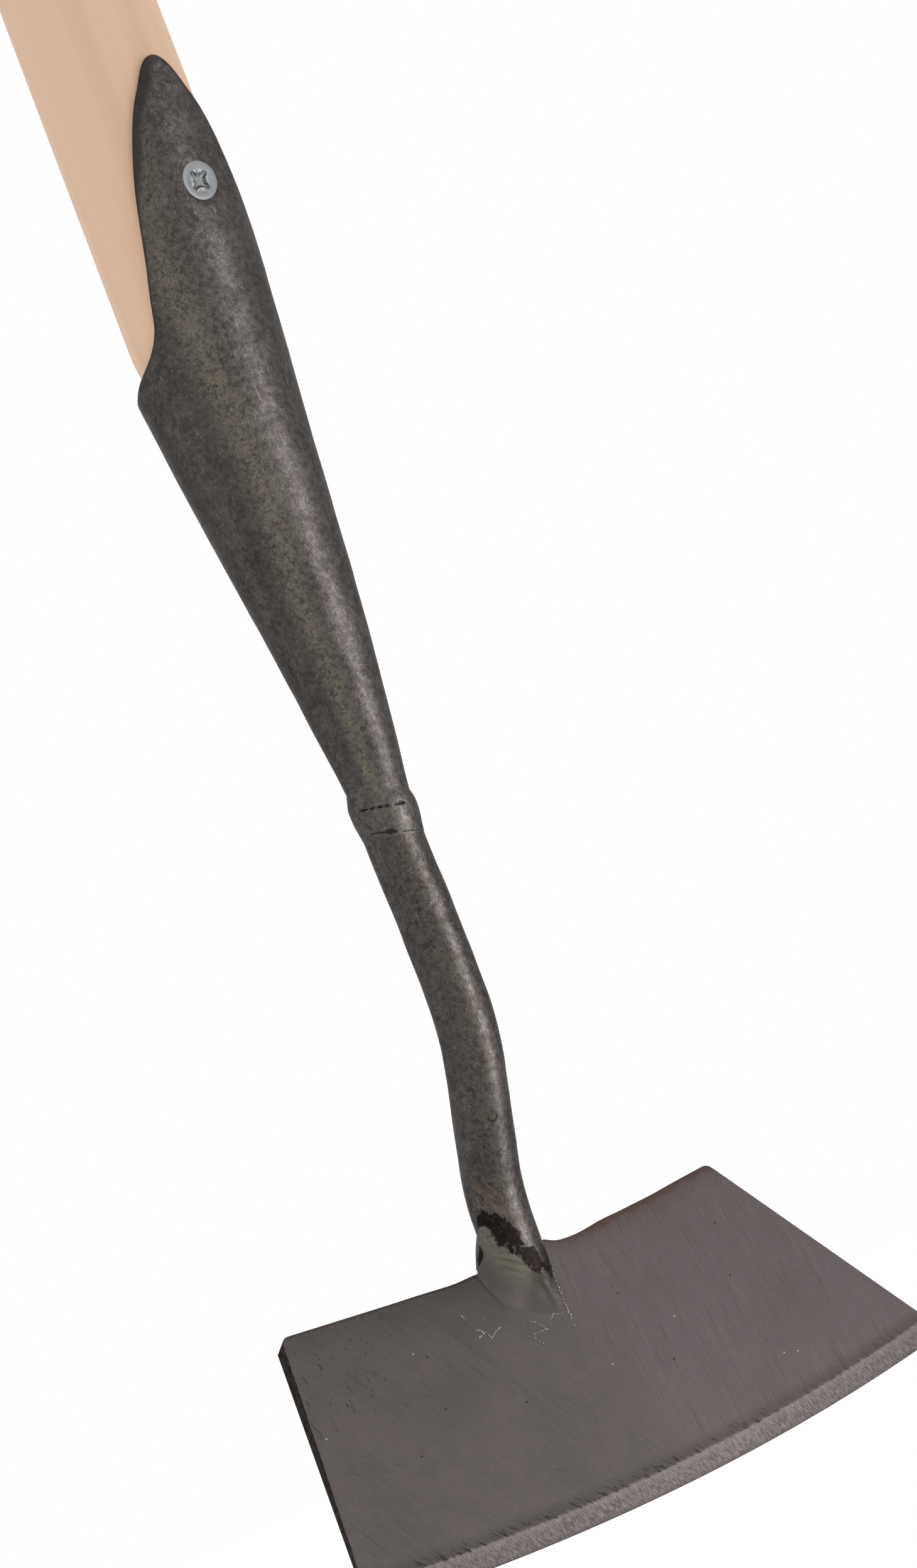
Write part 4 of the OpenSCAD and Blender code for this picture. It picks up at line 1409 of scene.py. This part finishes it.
class HOE_OT_blade_weld(bpy.types.Operator):
    """Lay the ground weld between the neck and the blade."""

    bl_idname = "hoe.blade_weld"
    bl_label = "Blade weld"

    def execute(self, context):
        sizes = context.scene.hoe_sizes
        turns = np.linspace(-180, 180, 241)
        levels = self.levels(sizes, turns)
        piece, column, row = blank(len(turns) - 1, len(levels) - 1)
        local = np.array(levels)[row, column]
        side = turns[column]
        share = np.clip((row - 2) / SKIN_STEPS, 0, 1)
        skin = (row > 1) & (row < SKIN_STEPS + 3)
        local[:, 2] += np.where(skin, self.roughness(local, side), 0) * eased(0, 0.25, share)
        dent = self.pocket(local)
        local += np.array([1.1, -0.1, -0.4]) * dent[:, None]
        foot, ways = blade_frame(sizes)
        put_points(piece, foot + local @ ways * MM)
        self.weather(piece, side, share, dent)
        sealed(piece)
        coat = ground_weld(sizes, context.scene.hoe_finish)
        dressed(piece, "blade_fillet", "blade_weld", [coat], 60)
        return {"FINISHED"}

    def levels(self, sizes, turns):
        """Rings of points in millimetres: from below, up the skin from toe to border, and into the neck."""
        toe, top, swell, bite = self.rings(sizes, turns)
        out = toe - np.array([0, 2, 0])
        out = out / np.linalg.norm(out, axis=1)[:, None]
        below = np.zeros_like(toe) + np.array([0, 2, -1.5])
        core = np.zeros_like(toe) + np.array([0, -4, 3.2])
        levels = [below, toe * np.array([0.8, 0.8, 1]) + np.array([0, 0, -0.6])]
        for share in np.linspace(0, 1, SKIN_STEPS + 1):
            bulge = (4 * share * (1 - share) * swell)[:, None]
            skin = toe + (top - toe) * share
            skin[:, 2] = toe[:, 2] + (top - toe)[:, 2] * share ** bite
            levels.append(skin + bulge * (out * 0.8 + np.array([0, 0, 0.5])))
        return levels + [top + (core - top) * 0.35, core]

    def roughness(self, local, side):
        """Unevenness of the weld: little on the ground facet, none behind the neck."""
        rough = 0.16 * lumps(local, 2.4, 3.3) + 0.1 * lumps(local, 1.1, 8.1)
        behind = eased(112, 135, np.abs(side))
        facet = eased(-100, -88, side) * (1 - eased(-10, 12, side))
        return rough * (1 - behind) * (1 - 0.85 * facet)

    def pocket(self, local):
        """How deep each point lies in the long pocket on the left, which is also painted dark as shade."""
        off = local - np.array([-9.1, -3.4, 2.6])
        lengthwise = off @ np.array([-0.27, 0.73, -0.63])
        beside = (off ** 2).sum(1) - lengthwise ** 2
        return np.exp(-(lengthwise / 2.1) ** 2 - beside / 1.3)

    def weather(self, piece, side, share, dent):
        """Keeps where the weld is burnt, olive, given painted shade along its ridge and in its pocket, and
        left as forged.
        """
        front = eased(-86, -40, side) * (1 - eased(34, 66, side))
        burnt = eased(0.84, 1.0, share) * front
        ridge = np.exp(-((side + 18 - 17 * share) / 15) ** 4)
        right = eased(44, 62, side)
        # The burnt mark also holds painted shade in the pocket on the left
        mark(piece, "burnt", np.clip(0.75 * burnt + 1.5 * dent, 0, 1))
        mark(piece, "olive", eased(0.35, 0.85, share) * (1 - eased(-22, 22, side)))
        mark(piece, "shade", ridge * np.interp(share, [0, 0.2, 0.45, 0.75], [0.1, 0.5, 0.62, 0.9]))
        mark(piece, "forged", right + eased(130, 150, -side))
        mark(piece, "soot", 0.3 * right)

    def rings(self, sizes, turns):
        """Toe and upper border of the weld in millimetres across, along and up, its swell and its bite."""
        at, across, along, bite = np.array(WELD_TOE).T
        x = self.flow(turns, at, across)
        s = self.flow(turns, at, along)
        behind = eased(0.5, 3.5, -s)
        toe = np.stack([x, s, face_height(sizes, s * MM) / MM - 0.04 - 2.3 * behind], 1)
        border_at = np.arange(-180, 181, 10)
        rise = self.flow(turns, border_at, weld_border(border_at))[:, None]
        slope = sizes.blade_angle + sizes.first_bend - sizes.second_bend
        lift = np.array([0, -math.cos(slope), math.sin(slope)])
        front = np.array([0, math.sin(slope), math.cos(slope)])
        turn = np.radians(turns)[:, None]
        proud = 0.05 - 1.3 * eased(114, 140, np.abs(turns))[:, None]
        reach = sizes.neck_d / 2 / MM + proud
        top = rise * lift + reach * (np.sin(turn) * np.array([1, 0, 0]) + np.cos(turn) * front)
        swell = self.flow(turns, [-150, -125, -105, -85], [0, 0.4, 0.1, 0])
        return toe, top, swell, self.flow(turns, at, bite)

    def flow(self, turns, at, values):
        """Values smoothed along the ring."""
        dense = np.interp(turns, at, values)
        for step in range(10):
            dense[1:-1] = (dense[:-2] + 2 * dense[1:-1] + dense[2:]) / 4
        return dense


# Paths of the beads on the blade's face, in millimetres across and along
SQUIGGLES = (
    ((-21.3, 8.0), (-21.1, 8.7), (-20.7, 9.2)),
    ((-17.0, 9.7), (-16.8, 10.5), (-17.0, 11.4)),
    (
        (-20.3, 12.7), (-19.3, 13.8), (-21.0, 14.9), (-18.7, 14.1),
        (-18.4, 16.2), (-16.8, 15.2), (-15.2, 14.5),
    ),
    ((-8.0, 16.0), (-6.4, 17.4), (-5.7, 19.7), (-8.4, 19.4), (-9.8, 20.4), (-8.6, 22.8)),
    ((-2.7, 17.6), (-1.7, 16.7), (0.5, 17.8)),
)
LOWER_ROW = ((5.4, 7.0), (2.7, 15.2), (0.6, 22.1))
UPPER_ROW = ((8.6, 0.6), (7.4, 3.6), (5.7, 6.6))


class HOE_OT_spatter(bpy.types.Operator):
    """Scatter the beads of weld spatter on the blade's face."""

    bl_idname = "hoe.spatter"
    bl_label = "Weld spatter"

    def execute(self, context):
        sizes = context.scene.hoe_sizes
        parts = []
        for path in SQUIGGLES:
            parts += self.beads(sizes, path, 0.2, 0.15)
        parts += self.beads(sizes, LOWER_ROW, 0.4, 0.16)
        parts += self.beads(sizes, UPPER_ROW, 0.6, 0.11)
        fresh()
        for part in parts:
            part.select_set(True)
        bpy.context.view_layer.objects.active = parts[0]
        bpy.ops.object.join()
        dressed(parts[0], "weld_spatter", None, [spatter_steel()], 60)
        return {"FINISHED"}

    def beads(self, sizes, path, step, radius):
        """Uneven beads in a row along a path on the face, left out here and there."""
        foot, ways = blade_frame(sizes)
        proud = 0.03
        least_chance = -0.22
        made = []
        for start, stop in zip(path[:-1], path[1:]):
            count = max(2, round(math.dist(start, stop) / step))
            for share in np.arange(count) / count:
                x = start[0] + (stop[0] - start[0]) * share
                s = start[1] + (stop[1] - start[1]) * share
                chance = noise.noise(Vector((x * 3.1, s * 2.7, 4.4)))
                if chance < least_chance:
                    continue
                x += 0.4 * noise.noise(Vector((x * 2.3, s * 2.9, 1.5)))
                h = face_height(sizes, s * MM) / MM + proud
                place = foot + np.array([x, s, h]) @ ways * MM
                made.append(self.bead(place, radius * (1 + 1.3 * chance), sizes.blade_angle))
        return made

    def bead(self, place, radius, slope):
        """One flattened, uneven bead."""
        fresh()
        bpy.ops.mesh.primitive_ico_sphere_add(subdivisions=2, radius=radius * MM, location=place)
        bead = bpy.context.object
        bead.scale = (1.25, 1.0, 0.7)
        bead.rotation_euler = (math.pi / 2 - slope, 0, 0)
        bpy.ops.object.transform_apply(location=True, rotation=True, scale=True)
        return bead


class HOE_PT_panel(bpy.types.Panel):
    """Lists the steps and the sizes of the hoe."""

    bl_idname = "HOE_PT_panel"
    bl_label = "Dutch hoe"
    bl_space_type = "VIEW_3D"
    bl_region_type = "UI"
    bl_category = "Hoe"

    def draw(self, context):
        for operator in STEPS:
            self.layout.operator(operator.bl_idname)
        for group in (context.scene.hoe_sizes, context.scene.hoe_finish):
            box = self.layout.box()
            for name in group.__annotations__:
                box.prop(group, name)


STEPS = (
    HOE_OT_stage,
    HOE_OT_handle,
    HOE_OT_socket,
    HOE_OT_screw,
    HOE_OT_neck,
    HOE_OT_collar,
    HOE_OT_blade,
    HOE_OT_blade_weld,
    HOE_OT_spatter,
)
CLASSES = (HoeSizes, HoeFinish, *STEPS, HOE_PT_panel)


def register():
    """Adds the classes and the scene's settings."""
    for item in CLASSES:
        bpy.utils.register_class(item)
    bpy.types.Scene.hoe_sizes = bpy.props.PointerProperty(type=HoeSizes)
    bpy.types.Scene.hoe_finish = bpy.props.PointerProperty(type=HoeFinish)


def unregister():
    """Takes them away again."""
    del bpy.types.Scene.hoe_finish
    del bpy.types.Scene.hoe_sizes
    for item in reversed(CLASSES):
        bpy.utils.unregister_class(item)


def main():
    """Builds every piece in order."""
    register()
    bpy.ops.hoe.stage()
    bpy.ops.hoe.handle()
    bpy.ops.hoe.socket()
    bpy.ops.hoe.screw()
    bpy.ops.hoe.neck()
    bpy.ops.hoe.collar()
    bpy.ops.hoe.blade()
    bpy.ops.hoe.blade_weld()
    bpy.ops.hoe.spatter()


if __name__ == "__main__":
    main()
